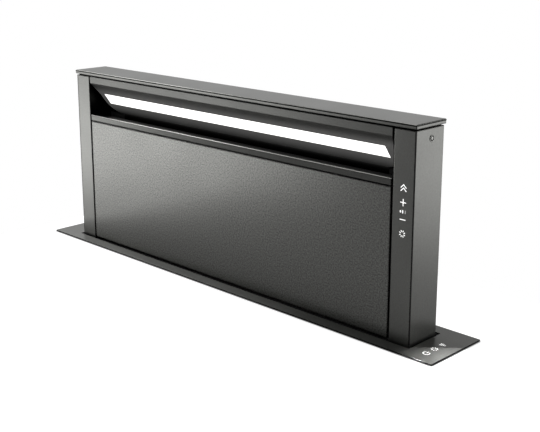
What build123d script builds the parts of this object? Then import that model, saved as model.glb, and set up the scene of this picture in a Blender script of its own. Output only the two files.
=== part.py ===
from build123d import *
import math
import os

# A worktop downdraft vent, raised. Millimetres, +Z up, front towards -Y, right end towards +X.
# The origin is the middle of the worktop cut-out, at the worktop's surface.

# ---- driving dimensions -------------------------------------------------------------------

# tower
tower_width = 782.0
tower_depth = 64.6
tower_shift = -1.0
lift_travel = 319.0
cap_thick = 6.6
cap_overhang = 2.0
cap_wall = 2.0
cap_gap = 2.6
cap_corner = 1.0
cap_bevel = 0.5
neck_inset = 3.0
neck_wall = 2.5
pillar_width = 36.6
pillar_wall = 1.5
pillar_corner = 0.8
pillar_foot = -8.0
groove = 3.0
sheet = 1.2
back_lip = 4.0
plug_setback = 36.6
plug_drop = 14.6
plug_radius = 5.0
plug_high = 0.8
plug_shank = 2.0
plug_length = 6.0
plug_bevel = 0.3

# cover plate and what lies between it and the worktop
plate_reach = 37.5
plate_depth = 120.6
plate_thick = 1.5
plate_corner = 2.0
plate_bevel = 0.4
slot_gap_side = 4.0
slot_gap_front = 5.7
gasket_thick = 1.0
gasket_inset = 2.0
gasket_clear = 0.5
frame_inset_side = 11.0
frame_inset_front = 4.3
frame_gap_side = 4.0
frame_gap_front = 3.0
frame_lip = 12.0
frame_sheet = 1.0
foil_width = 24.0
foil_length = 72.0
foil_inset = 27.5
foil_y = -14.0
foil_clear = 0.3

# intake: sill, deflector and light
band_height = 11.8
intake_gap = 60.0
sill_height = 10.3
sill_depth = 17.3
sill_drop = 35.0
sill_fillet = 0.6
tab_setback = 4.0
deflector_angle = 54.0
deflector_length = 70.0
deflector_taper = 27.0
deflector_narrowing = 10.4
deflector_corner = 30.0
deflector_tab_inset = 8.0
strip_end_gap = 13.5
strip_height = 23.5
strip_from_edge = 36.2
strip_thick = 3.0
strip_clear = 0.3
strip_ledge = 2.0
strip_corner = 0.5
channel_depth = 12.0
channel_margin = 3.0
channel_floor = 1.2
board_thick = 1.6
board_clear = 0.5

# front panel, which tilts forward on two pins
panel_foot_gap = 2.0
panel_gap = 1.7
panel_thick = 1.5
panel_deep = 13.2
panel_fillet = 0.5
pin_inset = 3.3
pin_rise = 6.0
pin_radius = 1.5
pin_length = 16.0
pin_end_gap = 0.1
fit_clear = 0.05
magnet_width = 30.0
magnet_height = 12.0
magnet_inset = 61.4
magnet_corner = 1.5
magnet_clear = 0.1

# grease filters and the frame that they stand in
clean_duct_depth = 17.3
filter_ledge = -6.0
filter_headroom = 20.5
filter_side_gap = 7.9
filter_mid_gap = 1.5
filter_thick = 9.0
filter_rim = 14.0
filter_pleats = 24
pleat_front_gap = 1.5
pleat_back_gap = 2.5
pleat_sheet = 1.0
window_margin = 22.0
lip_overlap = 3.0
tray_setback = 2.0
tray_lip = 6.0
pull_width = 46.0
pull_height = 7.0
pull_deep = 2.5

# touch board behind the right pillar's front
touch_width = 24.0
touch_height = 96.0
touch_drop = 116.8
plug_block_width = 14.0
plug_block_height = 10.0
plug_block_deep = 5.0
plug_block_drop = 33.0

# lift: columns, racks, pinions and cross shaft
column_top = 40.0
column_wall = 2.0
column_clear = 0.1
column_side_gap = 1.0
tooth_module = 1.0
pinion_teeth = 20
pressure_angle = 20.0
backlash = 0.12
rack_recess = 1.8
rack_width = 10.0
rack_deep = 9.5
rack_inset = 10.6
spare_teeth = 6
pinion_width = 12.0
pinion_gap = 2.0
shaft_radius = 4.0
shaft_end = 11.0
shaft_bevel = 0.5
bearing_width = 10.0
bearing_inset = 20.0
bearing_half = 9.0
bearing_nose = 6.0
bearing_tip = 5.0
tie_height = 30.0
column_tail = 12.0

# guide slides between the columns and the end walls
slide_space = 19.0
carriage_length = 200.0
carriage_rise = 7.0
carriage_half = 13.0
carriage_reach = 12.6
rail_half = 22.0
rail_reach = 13.0
rail_top = -20.0
rail_rise = 5.0
slide_sheet = 1.5
ball_radius = 3.4
ball_pitch = 30.0
balls_in_row = 4
cage_length = 110.0
cage_sheet = 1.0
cage_lip_inset = 0.5

# chassis under the worktop
wall_gap = 2.0
floor_gap = 13.0
wall = 1.5
skin = 1.2
flange = 12.0
floor_lip = 8.0
bead_height = 2.0
bead_width = 26.0
bead_corner = 12.0
bead_inset = 45.0
bead_offset = 170.0
bead_taper = 30.0
floor_clear = 1.0
screw_inset = 40.0
screw_count = 5
screw_radius = 3.6
screw_shank = 1.8
screw_high = 2.0
screw_tail = 2.0

# blower behind the chassis
blower_x = -120.0
blower_rise = 184.0
blower_deep = 130.0
scroll_small = 103.0
scroll_large = 145.0
scroll_wall = 2.0
outlet_height = 130.0
outlet_reach = 150.0
inlet_radius = 80.0
inlet_lip = 6.0
inlet_clear = 0.5
impeller_radius = 93.0
blade_inner_radius = 76.0
blade_thick = 1.4
blade_inset = 0.8
blade_sweep = 9.0
blade_lean = 1.0
blade_bulge = 1.5
blade_count = 36
impeller_gap = 8.0
impeller_back_gap = 16.0
impeller_disc = 2.0
hub_radius = 14.0
hub_depth = 26.0
hub_tail = 6.0
hub_clear = 6.0
hub_grip = 4.0
motor_radius = 50.0
motor_flange = 3.0
motor_deep = 46.0
motor_step = 12.0
motor_round = 6.0
motor_cap = 6.0
motor_screw_inset = 5.0
motor_screw_count = 4
motor_screw_turn = 45.0
motor_screw_tail = 1.0
shaft_end_gap = 1.0

# outlet collar and its non-return damper
collar_radius = 75.0
collar_wall = 1.5
collar_back_gap = 5.5
collar_taper = 65.0
collar_length = 73.0
collar_corner = 6.0
damper_setback = 23.0
damper_pin_radius = 2.0
damper_pin_recess = 0.3
seat_width = 4.0
seat_thick = 2.0
seat_gap = 0.5
flap_thick = 1.0
flap_clear = 0.8
flap_split = 1.0
flap_offset = 0.5
knuckle_radius = 4.0
knuckle_length = 24.0
knuckle_pitch = 30.0
knuckle_clear = 0.5
knuckle_web = 3.0
knuckle_web_reach = 8.0

# lift drive on the chassis back
drive_x = 85.0
drive_half_width = 25.0
drive_half_height = 24.0
drive_deep = 62.0
drive_nose = 5.3
drive_corner = 5.0
drive_flange = 3.0
drive_flange_side = 12.0
drive_flange_high = 8.0
drive_window_gap = 1.0
drive_motor_radius = 18.0
drive_motor_gap = 3.0
drive_motor_length = 95.0
drive_cap_radius = 10.8
drive_cap_length = 5.0
drive_cap_fillet = 1.0

# control box on the chassis back
box_side_gap = 66.5
box_drop = 70.0
box_width = 170.0
box_height = 120.0
box_deep = 44.0
box_wall = 2.0
box_corner = 4.0
lid_inset = 12.0
lid_step = 1.0
lid_taper = 20.0
grommet_offset = 50.0
grommet_radius = 8.0
grommet_neck = 6.5
grommet_collar = 4.0
grommet_tail = 4.0
cable_radius = 4.0

# clamps and feet
clamp_y = 30.0
clamp_width = 16.0
clamp_drop = 36.0
clamp_leg = 34.0
clamp_reach = 26.0
clamp_sheet = 2.5
clamp_screw_inset = 8.0
clamp_screw_radius = 2.5
clamp_screw_half = 20.0
clamp_pad_radius = 6.0
clamp_pad_thick = 3.0
clamp_nut_radius = 4.0
clamp_nut_high = 4.0
foot_drop = 16.0
foot_reach = 34.0
foot_sheet = 2.0
foot_leg = 70.0
foot_width = 90.0
foot_hole_inset = 18.5
foot_hole_y = 30.0
foot_hole_radius = 3.0

# ---- places worked out from them -----------------------------------------------------------

tower_half = tower_width / 2
tower_front = tower_shift - tower_depth / 2
tower_back = tower_shift + tower_depth / 2
end_wall_x = tower_half + slide_space
chassis_half = end_wall_x + wall
plate_width = 2 * (chassis_half + plate_reach)
slot_width = tower_width + 2 * slot_gap_side
slot_depth = tower_depth + 2 * slot_gap_front
gasket_width = plate_width - 2 * gasket_inset
gasket_depth = plate_depth - 2 * gasket_inset
frame_width = plate_width - 2 * frame_inset_side
frame_depth = plate_depth - 2 * frame_inset_front
frame_open_width = slot_width + 2 * frame_gap_side
frame_open_depth = slot_depth + 2 * frame_gap_front
foil_x = plate_width / 2 - foil_inset
plate_top = gasket_thick + plate_thick
cap_top = plate_top + lift_travel
cap_under = cap_top - cap_thick
pillar_top = cap_under - cap_gap
pillar_inner = tower_half - pillar_width
face_half = pillar_inner - groove
plug_y = tower_front + plug_setback
plug_z = pillar_top - plug_drop
intake_high = pillar_top - band_height
intake_low = intake_high - intake_gap
deflector_low_half = face_half - deflector_narrowing
strip_width = 2 * (deflector_low_half - strip_end_gap)
sill_foot = intake_low - sill_height
panel_foot = plate_top + panel_foot_gap
panel_top = sill_foot - panel_gap
panel_back = tower_front + panel_deep
pin_y = tower_front + pin_inset
pin_z = panel_foot + pin_rise
magnet_x = face_half - magnet_inset
filter_frame_y = tower_back - clean_duct_depth
filter_width = pillar_inner - filter_side_gap - filter_mid_gap
filter_height = intake_low - filter_headroom - filter_ledge
filter_x = filter_mid_gap + filter_width / 2
filter_z = filter_ledge + filter_height / 2
rack_tip_y = tower_back - rack_recess
rack_seat_y = rack_tip_y - rack_deep
rack_x = pillar_inner + rack_inset
pitch_radius = tooth_module * pinion_teeth / 2
tip_radius = pitch_radius + tooth_module
root_radius = pitch_radius - 1.25 * tooth_module
shaft_y = rack_tip_y - tooth_module + pitch_radius
shaft_z = pillar_foot - pinion_gap - tip_radius - lift_travel
shaft_half = rack_x + shaft_end
bearing_x = rack_x - bearing_inset
column_foot = shaft_z - column_tail
chassis_half_depth = shaft_y + tip_radius + wall_gap
back_wall_outer = chassis_half_depth + skin
chassis_floor_z = column_foot - lift_travel - floor_gap
blower_z = chassis_floor_z + blower_rise
scroll_front = back_wall_outer + wall
scroll_back = scroll_front + blower_deep
outlet_low = blower_z - scroll_large
outlet_high = outlet_low + outlet_height
outlet_x = blower_x - outlet_reach
collar_y = back_wall_outer + collar_radius + collar_back_gap
collar_z = (outlet_low + outlet_high) / 2
collar_start_x = outlet_x - collar_taper
collar_end_x = collar_start_x - collar_length
bore_radius = collar_radius - collar_wall
damper_x = collar_start_x - damper_setback
flap_radius = bore_radius - flap_clear
box_x = chassis_half - box_side_gap - box_width / 2
box_z = -box_drop - box_height / 2
grommet_x = box_x + grommet_offset
grommet_y = back_wall_outer + box_deep / 2
grommet_z = box_z - box_height / 2
clamp_screw_x = chassis_half + clamp_reach - clamp_screw_inset
foot_z = chassis_floor_z - foot_drop
foot_hole_x = chassis_half + foot_hole_inset


def upright(y):
    """The plane seen from the front at this depth; a negative extrude goes back."""
    return Plane.XZ.offset(-y)


def around_blower(y):
    """As upright, with its origin on the blower's axis."""
    return Plane(origin=(blower_x, y, blower_z), x_dir=(1, 0, 0), z_dir=(0, -1, 0))


# ---- cover plate and worktop frame ---------------------------------------------------------

with BuildPart() as cover_plate:
    with BuildSketch(Plane.XY.offset(gasket_thick)):
        RectangleRounded(plate_width, plate_depth, plate_corner)
        RectangleRounded(slot_width, slot_depth, plate_corner, mode=Mode.SUBTRACT)
    extrude(amount=plate_thick)
    chamfer(cover_plate.faces().sort_by(Axis.Z)[-1].outer_wire().edges(), plate_bevel)

with BuildPart() as plate_gasket:
    with BuildSketch():
        Rectangle(gasket_width, gasket_depth)
        Rectangle(frame_width + 2 * gasket_clear, frame_depth + 2 * gasket_clear, mode=Mode.SUBTRACT)
    extrude(amount=gasket_thick)

lip_inner = (frame_open_width - 2 * frame_sheet, frame_open_depth - 2 * frame_sheet)
with BuildPart() as worktop_frame:
    with BuildSketch():
        Rectangle(frame_width, frame_depth)
        Rectangle(*lip_inner, mode=Mode.SUBTRACT)
        with Locations((foil_x, foil_y)):
            Rectangle(foil_width + 2 * foil_clear, foil_length + 2 * foil_clear, mode=Mode.SUBTRACT)
    extrude(amount=gasket_thick)
    with BuildSketch():
        Rectangle(frame_open_width, frame_open_depth)
        Rectangle(*lip_inner, mode=Mode.SUBTRACT)
    extrude(amount=-frame_lip)

with BuildPart() as touch_foil:
    with BuildSketch():
        with Locations((foil_x, foil_y)):
            RectangleRounded(foil_width, foil_length, plate_corner)
    extrude(amount=gasket_thick)

# ---- tower: cap, pillars, panels -----------------------------------------------------------

with BuildPart() as top_cap:
    with BuildSketch(Plane.XY.offset(cap_under)):
        with Locations((0, tower_shift)):
            RectangleRounded(
                tower_width + 2 * cap_overhang, tower_depth + 2 * cap_overhang, cap_corner
            )
    extrude(amount=cap_thick)
    chamfer(top_cap.faces().sort_by(Axis.Z)[-1].edges(), cap_bevel)
    with BuildSketch(Plane.XY.offset(cap_under)):
        with Locations((0, tower_shift)):
            Rectangle(
                tower_width + 2 * (cap_overhang - cap_wall), tower_depth + 2 * (cap_overhang - cap_wall)
            )
    extrude(amount=cap_thick - cap_wall, mode=Mode.SUBTRACT)
    with BuildSketch(Plane.XY.offset(pillar_top)):
        with Locations((0, tower_shift)):
            Rectangle(tower_width - 2 * neck_inset, tower_depth - 2 * neck_inset)
            Rectangle(
                tower_width - 2 * (neck_inset + neck_wall),
                tower_depth - 2 * (neck_inset + neck_wall),
                mode=Mode.SUBTRACT,
            )
    extrude(amount=cap_top - cap_wall - pillar_top)

with BuildPart() as pillar_right:
    with BuildSketch(Plane.XY.offset(pillar_foot)):
        with Locations((tower_half - pillar_width / 2, tower_shift)):
            RectangleRounded(pillar_width, tower_depth, pillar_corner)
            Rectangle(pillar_width - 2 * pillar_wall, tower_depth - 2 * pillar_wall, mode=Mode.SUBTRACT)
    extrude(amount=pillar_top - pillar_foot)
    with BuildSketch(Plane.YZ.offset(pillar_inner)):
        with Locations((pin_y, pin_z)):
            Circle(pin_radius + fit_clear)
    extrude(amount=pillar_wall, mode=Mode.SUBTRACT)
    with BuildSketch(Plane.YZ.offset(tower_half - pillar_wall)):
        with Locations((plug_y, plug_z)):
            Circle(plug_shank)
    extrude(amount=pillar_wall, mode=Mode.SUBTRACT)

with BuildPart() as pillar_left:
    mirror(pillar_right.part, about=Plane.YZ)

with BuildPart() as cap_screws:
    with BuildSketch(Plane.YZ.offset(tower_half)):
        with Locations((plug_y, plug_z)):
            Circle(plug_radius)
    extrude(amount=plug_high)
    chamfer(cap_screws.faces().sort_by(Axis.X)[-1].edges(), plug_bevel)
    with BuildSketch(Plane.YZ.offset(tower_half - plug_length)):
        with Locations((plug_y, plug_z)):
            Circle(plug_shank)
    extrude(amount=plug_length)
    mirror(about=Plane.YZ)

with BuildPart() as back_panel:
    with BuildSketch(upright(tower_back)):
        with Locations((0, (pillar_foot + pillar_top) / 2)):
            Rectangle(2 * pillar_inner, pillar_top - pillar_foot)
    extrude(amount=sheet)
    with BuildSketch(Plane.XY.offset(pillar_foot)):
        with Locations((0, tower_back - sheet - back_lip / 2)):
            Rectangle(2 * pillar_inner, back_lip)
    extrude(amount=sheet)

# sill rail: an upturned channel with a rear flange, which stops the panel and holds its magnets
with BuildPart() as sill_rail:
    with BuildSketch(Plane.YZ.offset(-face_half)):
        with BuildLine():
            Polyline(
                (tower_front, sill_foot),
                (tower_front, intake_low),
                (tower_front + sill_depth, intake_low),
                (tower_front + sill_depth, intake_low - sill_drop),
                (tower_front + sill_depth - sheet, intake_low - sill_drop),
                (tower_front + sill_depth - sheet, intake_low - sheet),
                (tower_front + sheet, intake_low - sheet),
                (tower_front + sheet, sill_foot),
                close=True,
            )
        make_face()
    extrude(amount=2 * face_half)
    fillet(sill_rail.edges().filter_by(Axis.X).group_by(Axis.Z)[-1].sort_by(Axis.Y)[0], sill_fillet)
    with BuildSketch(Plane.XY.offset(intake_low - sheet)):
        with Locations((0, tower_front + (sill_depth + tab_setback) / 2)):
            Rectangle(2 * pillar_inner, sill_depth - 2 * tab_setback)
            Rectangle(2 * face_half, sill_depth - 2 * tab_setback, mode=Mode.SUBTRACT)
    extrude(amount=sheet)

with BuildPart() as magnet_catches:
    with BuildSketch(upright(tower_front + sill_depth - sheet)):
        with Locations((-magnet_x, panel_top - magnet_height), (magnet_x, panel_top - magnet_height)):
            RectangleRounded(magnet_width, magnet_height, magnet_corner)
    extrude(amount=sill_depth - sheet - panel_deep - magnet_clear)

# ---- deflector and its light ---------------------------------------------------------------

tilt = math.radians(deflector_angle)
incline = Plane(
    origin=(0, tower_front, intake_high), x_dir=(1, 0, 0), z_dir=(0, -math.sin(tilt), -math.cos(tilt))
)
incline_foot_y = tower_front + deflector_length * math.cos(tilt)
incline_foot_z = intake_high - deflector_length * math.sin(tilt)
lip_half = deflector_low_half - deflector_corner
lip_foot_z = filter_ledge + filter_height + lip_overlap
frame_top_z = incline_foot_z - lip_overlap

with BuildPart() as deflector:
    with BuildSketch(incline):
        with BuildLine():
            Polyline(
                (-face_half, 0),
                (face_half, 0),
                (deflector_low_half, -deflector_taper),
                (deflector_low_half, deflector_corner - deflector_length),
            )
            RadiusArc(
                (deflector_low_half, deflector_corner - deflector_length),
                (lip_half, -deflector_length),
                deflector_corner,
            )
            Line((lip_half, -deflector_length), (-lip_half, -deflector_length))
            RadiusArc(
                (-lip_half, -deflector_length),
                (-deflector_low_half, deflector_corner - deflector_length),
                deflector_corner,
            )
            Polyline(
                (-deflector_low_half, deflector_corner - deflector_length),
                (-deflector_low_half, -deflector_taper),
                (-face_half, 0),
            )
        make_face()
        with Locations((0, -strip_from_edge)):
            Rectangle(
                strip_width + 2 * strip_clear, strip_height + 2 * strip_clear, mode=Mode.SUBTRACT
            )
    extrude(amount=-sheet)
    with BuildSketch(Plane.YZ.offset(-face_half)):
        with BuildLine():
            Polyline(
                (tower_front, intake_high),
                (tower_front, pillar_top),
                (tower_back - sheet, pillar_top),
                (tower_back - sheet, pillar_top - sheet),
                (tower_front + sheet, pillar_top - sheet),
                (tower_front + sheet, intake_high),
                close=True,
            )
        make_face()
    extrude(amount=2 * face_half)
    with BuildSketch(Plane.YZ.offset(-lip_half)):
        with BuildLine():
            Polyline(
                (incline_foot_y, incline_foot_z),
                (incline_foot_y + sheet * math.sin(tilt), incline_foot_z + sheet * math.cos(tilt)),
                (filter_frame_y, incline_foot_z + sheet * math.cos(tilt)),
                (filter_frame_y, lip_foot_z),
                (filter_frame_y - sheet, lip_foot_z),
                (filter_frame_y - sheet, incline_foot_z - sheet * math.cos(tilt)),
                close=True,
            )
        make_face()
    extrude(amount=2 * lip_half)
    with BuildSketch(Plane.XY.offset(pillar_top - sheet)):
        with Locations((0, tower_shift)):
            Rectangle(2 * pillar_inner, tower_depth - 2 * deflector_tab_inset)
            Rectangle(2 * face_half, tower_depth - 2 * deflector_tab_inset, mode=Mode.SUBTRACT)
    extrude(amount=sheet)

with BuildPart() as lamp_channel:
    channel_width = strip_width + 2 * (channel_margin + strip_clear)
    channel_height = strip_height + 2 * (channel_margin + strip_clear)
    with BuildSketch(incline.offset(-sheet)):
        with Locations((0, -strip_from_edge)):
            Rectangle(channel_width, channel_height)
    extrude(amount=-channel_depth)
    with BuildSketch(incline.offset(-sheet)):
        with Locations((0, -strip_from_edge)):
            Rectangle(strip_width + 2 * strip_clear, strip_height + 2 * strip_clear)
    extrude(amount=-(strip_thick - sheet), mode=Mode.SUBTRACT)
    with BuildSketch(incline.offset(-strip_thick)):
        with Locations((0, -strip_from_edge)):
            Rectangle(strip_width - 2 * strip_ledge, strip_height - 2 * strip_ledge)
    extrude(amount=-(channel_depth + sheet - strip_thick - channel_floor), mode=Mode.SUBTRACT)

board_inset = strip_ledge + board_clear
with BuildPart() as led_board:
    with BuildSketch(incline.offset(-(channel_depth + sheet - channel_floor))):
        with Locations((0, -strip_from_edge)):
            Rectangle(strip_width - 2 * board_inset, strip_height - 2 * board_inset)
    extrude(amount=board_thick)

with BuildPart() as light_diffuser:
    with BuildSketch(incline):
        with Locations((0, -strip_from_edge)):
            RectangleRounded(strip_width, strip_height, strip_corner)
    extrude(amount=-strip_thick)

# ---- front panel: an outer tray, a liner tray inside it, and the two pins -------------------

panel_mid = (panel_foot + panel_top) / 2
panel_high = panel_top - panel_foot

with BuildPart() as front_panel:
    with BuildSketch(upright(tower_front)):
        with Locations((0, panel_mid)):
            Rectangle(2 * face_half, panel_high)
    extrude(amount=-(panel_deep - sheet))
    fillet(front_panel.faces().sort_by(Axis.Y)[0].edges(), panel_fillet)
    with BuildSketch(upright(tower_front + panel_thick)):
        with Locations((0, panel_mid)):
            Rectangle(2 * (face_half - sheet), panel_high - 2 * sheet)
    extrude(amount=-panel_deep, mode=Mode.SUBTRACT)
    with BuildSketch(Plane.YZ.offset(-pillar_inner)):
        with Locations((pin_y, pin_z)):
            Circle(pin_radius)
    extrude(amount=2 * pillar_inner, mode=Mode.SUBTRACT)

with BuildPart() as panel_liner:
    with BuildSketch(upright(panel_back)):
        with Locations((0, panel_mid)):
            Rectangle(2 * face_half, panel_high)
    extrude(amount=sheet)
    with BuildSketch(upright(panel_back - sheet)):
        with Locations((0, panel_mid)):
            Rectangle(2 * (face_half - sheet), panel_high - 2 * sheet)
            Rectangle(2 * (face_half - 2 * sheet), panel_high - 4 * sheet, mode=Mode.SUBTRACT)
    extrude(amount=panel_deep - sheet - panel_thick)
    with BuildSketch(Plane.YZ.offset(-pillar_inner)):
        with Locations((pin_y, pin_z)):
            Circle(pin_radius)
    extrude(amount=2 * pillar_inner, mode=Mode.SUBTRACT)

with BuildPart() as panel_hinge_pins:
    with BuildSketch(Plane.YZ.offset(pillar_inner + pillar_wall - pin_end_gap - pin_length)):
        with Locations((pin_y, pin_z)):
            Circle(pin_radius)
    extrude(amount=pin_length)
    mirror(about=Plane.YZ)

# ---- grease filters and their frame ---------------------------------------------------------

tray_front = tower_front + tray_setback
with BuildPart() as filter_frame:
    with BuildSketch(upright(filter_frame_y)):
        with Locations((0, (filter_ledge + frame_top_z) / 2)):
            Rectangle(2 * pillar_inner, frame_top_z - filter_ledge)
        window_high = filter_height - 2 * window_margin
        for side in (-1, 1):
            with Locations((side * filter_x, filter_z)):
                Rectangle(filter_width - 2 * window_margin, window_high, mode=Mode.SUBTRACT)
    extrude(amount=-sheet)
    with BuildSketch(Plane.YZ.offset(-pillar_inner)):
        with BuildLine():
            Polyline(
                (filter_frame_y + sheet, filter_ledge),
                (filter_frame_y + sheet, filter_ledge - sheet),
                (tray_front, filter_ledge - sheet),
                (tray_front, filter_ledge + tray_lip),
                (tray_front + sheet, filter_ledge + tray_lip),
                (tray_front + sheet, filter_ledge),
                close=True,
            )
        make_face()
    extrude(amount=2 * pillar_inner)


def grease_filter(side):
    """A framed cassette with a pleated mesh, seen from above as a zigzag, and a finger loop."""
    middle = side * filter_x
    front = filter_frame_y - filter_thick
    inner_width = filter_width - 2 * filter_rim
    pleat = inner_width / filter_pleats
    mesh_front = front + pleat_front_gap
    mesh_back = front + filter_thick - pleat_back_gap
    start = middle - inner_width / 2
    folds = range(2 * filter_pleats + 1)
    ridge = [(start + n * pleat / 2, mesh_front if n % 2 else mesh_back) for n in folds]
    with BuildPart() as cassette:
        with BuildSketch(upright(front)):
            with Locations((middle, filter_z)):
                Rectangle(filter_width, filter_height)
                Rectangle(inner_width, filter_height - 2 * filter_rim, mode=Mode.SUBTRACT)
        extrude(amount=-filter_thick)
        with BuildSketch(Plane.XY.offset(filter_ledge + filter_rim)):
            with BuildLine():
                Polyline(*ridge, *[(x, y + pleat_sheet) for x, y in reversed(ridge)], close=True)
            make_face()
        extrude(amount=filter_height - 2 * filter_rim)
        with BuildSketch(upright(front)):
            with Locations((middle, filter_ledge + filter_height - filter_rim / 2)):
                SlotOverall(pull_width, pull_height)
        extrude(amount=pull_deep)
    return cassette


grease_filter_right = grease_filter(1)
grease_filter_left = grease_filter(-1)

touch_z = pillar_top - touch_drop
with BuildPart() as pillar_touch_board:
    with BuildSketch(upright(tower_front + pillar_wall)):
        with Locations((tower_half - pillar_width / 2, touch_z)):
            Rectangle(touch_width, touch_height)
    extrude(amount=-board_thick)
    with BuildSketch(upright(tower_front + pillar_wall + board_thick)):
        with Locations((tower_half - pillar_width / 2, touch_z - plug_block_drop)):
            Rectangle(plug_block_width, plug_block_height)
    extrude(amount=-plug_block_deep)

# ---- lift columns, tie, racks and slide carriages -------------------------------------------

column_outer = tower_half - pillar_wall - column_clear
column_inner = pillar_inner + pillar_wall + column_clear
column_front = tower_front + pillar_wall + column_clear
column_back = tower_back - pillar_wall - column_clear
rack_side = rack_x + rack_width
tie_half_depth = rack_seat_y - column_wall

# folded sheet column: outer web, front flange, back flange and a joggled web that carries the rack
with BuildPart() as lift_column_right:
    with BuildSketch(Plane.XY.offset(column_foot)):
        with BuildLine():
            Polyline(
                (column_inner, column_front),
                (column_outer, column_front),
                (column_outer, column_back),
                (rack_side, column_back),
                (rack_side, rack_seat_y),
                (column_inner + column_side_gap, rack_seat_y),
                (column_inner + column_side_gap, rack_seat_y - column_wall),
                (rack_side + column_wall, rack_seat_y - column_wall),
                (rack_side + column_wall, column_back - column_wall),
                (column_outer - column_wall, column_back - column_wall),
                (column_outer - column_wall, column_front + column_wall),
                (column_inner, column_front + column_wall),
                close=True,
            )
        make_face()
    extrude(amount=column_top - column_foot)

with BuildPart() as lift_column_left:
    mirror(lift_column_right.part, about=Plane.YZ)

tooth_pitch = math.pi * tooth_module
slope = math.tan(math.radians(pressure_angle))
rack_root_y = rack_tip_y - 2.25 * tooth_module
rack_root_half = tooth_pitch / 4 + 1.25 * tooth_module * slope - backlash / 2
rack_tip_half = tooth_pitch / 4 - tooth_module * slope - backlash / 2
rack_teeth = math.ceil(lift_travel / tooth_pitch) + spare_teeth
rack_foot = shaft_z - spare_teeth / 2 * tooth_pitch
rack_outline = [(rack_seat_y, rack_foot), (rack_root_y, rack_foot)]
for tooth in range(rack_teeth):
    tooth_z = rack_foot + (tooth + 0.5) * tooth_pitch
    rack_outline += [
        (rack_root_y, tooth_z - rack_root_half),
        (rack_tip_y, tooth_z - rack_tip_half),
        (rack_tip_y, tooth_z + rack_tip_half),
        (rack_root_y, tooth_z + rack_root_half),
    ]
rack_top = rack_foot + rack_teeth * tooth_pitch
rack_outline += [(rack_root_y, rack_top), (rack_seat_y, rack_top)]

with BuildPart() as rack_right:
    with BuildSketch(Plane.YZ.offset(rack_x - rack_width / 2)):
        with BuildLine():
            Polyline(*rack_outline, close=True)
        make_face()
    extrude(amount=rack_width)

with BuildPart() as rack_left:
    mirror(rack_right.part, about=Plane.YZ)

with BuildPart() as bottom_crosspiece:
    with BuildSketch(Plane.YZ.offset(-column_inner)):
        with Locations((0, column_foot + tie_height / 2)):
            Rectangle(2 * tie_half_depth, tie_height)
            with Locations((0, -column_wall)):
                Rectangle(2 * (tie_half_depth - column_wall), tie_height, mode=Mode.SUBTRACT)
    extrude(amount=2 * column_inner)
    with BuildSketch(Plane.YZ.offset(-column_inner)):
        with Locations((0, column_foot + tie_height / 2)):
            Rectangle(2 * tie_half_depth, tie_height)
    extrude(amount=-(column_outer - column_wall - column_inner))
    with BuildSketch(Plane.YZ.offset(column_inner)):
        with Locations((0, column_foot + tie_height / 2)):
            Rectangle(2 * tie_half_depth, tie_height)
    extrude(amount=column_outer - column_wall - column_inner)

carriage_foot = column_foot + carriage_rise
carriage_x = column_outer
with BuildPart() as slide_carriage_right:
    with BuildSketch(Plane.XY.offset(carriage_foot)):
        with BuildLine():
            Polyline(
                (carriage_x, -carriage_half),
                (carriage_x + carriage_reach, -carriage_half),
                (carriage_x + carriage_reach, slide_sheet - carriage_half),
                (carriage_x + column_wall, slide_sheet - carriage_half),
                (carriage_x + column_wall, carriage_half - slide_sheet),
                (carriage_x + carriage_reach, carriage_half - slide_sheet),
                (carriage_x + carriage_reach, carriage_half),
                (carriage_x, carriage_half),
                close=True,
            )
        make_face()
    extrude(amount=carriage_length)

with BuildPart() as slide_carriage_left:
    mirror(slide_carriage_right.part, about=Plane.YZ)

rail_foot = column_foot - lift_travel + rail_rise
with BuildPart() as guide_rail_right:
    with BuildSketch(Plane.XY.offset(rail_foot)):
        with BuildLine():
            Polyline(
                (end_wall_x, -rail_half),
                (end_wall_x - rail_reach, -rail_half),
                (end_wall_x - rail_reach, slide_sheet - rail_half),
                (end_wall_x - slide_sheet, slide_sheet - rail_half),
                (end_wall_x - slide_sheet, rail_half - slide_sheet),
                (end_wall_x - rail_reach, rail_half - slide_sheet),
                (end_wall_x - rail_reach, rail_half),
                (end_wall_x, rail_half),
                close=True,
            )
        make_face()
    extrude(amount=rail_top - rail_foot)

with BuildPart() as guide_rail_left:
    mirror(guide_rail_right.part, about=Plane.YZ)

# ball cages: a U of thin sheet with the balls held in its two sides
race_y = (carriage_half + rail_half - slide_sheet) / 2
cage_web_x = (carriage_x + carriage_reach + end_wall_x - slide_sheet) / 2
cage_lip_x = end_wall_x - rail_reach + cage_lip_inset
cage_half = cage_sheet / 2
ball_x = (cage_lip_x + carriage_x + carriage_reach) / 2
cage_middle = carriage_foot + carriage_length / 2
with BuildPart() as ball_cages:
    with BuildSketch(Plane.XY.offset(cage_middle - cage_length / 2)):
        with BuildLine():
            Polyline(
                (cage_lip_x, race_y - cage_half),
                (cage_lip_x, race_y + cage_half),
                (cage_web_x + cage_half, race_y + cage_half),
                (cage_web_x + cage_half, -race_y - cage_half),
                (cage_lip_x, -race_y - cage_half),
                (cage_lip_x, cage_half - race_y),
                (cage_web_x - cage_half, cage_half - race_y),
                (cage_web_x - cage_half, race_y - cage_half),
                close=True,
            )
        make_face()
    extrude(amount=cage_length)
    for ball in range(balls_in_row):
        ball_z = cage_middle + (ball - (balls_in_row - 1) / 2) * ball_pitch
        with Locations((ball_x, race_y, ball_z), (ball_x, -race_y, ball_z)):
            Sphere(ball_radius)
    mirror(about=Plane.YZ)

# ---- cross shaft and pinions ----------------------------------------------------------------

with BuildPart() as cross_shaft:
    with BuildSketch(Plane.YZ.offset(-shaft_half)):
        with Locations((shaft_y, shaft_z)):
            Circle(shaft_radius)
    extrude(amount=2 * shaft_half)
    chamfer(cross_shaft.edges().filter_by(GeomType.CIRCLE), shaft_bevel)

base_radius = pitch_radius * math.cos(math.radians(pressure_angle))


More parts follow.
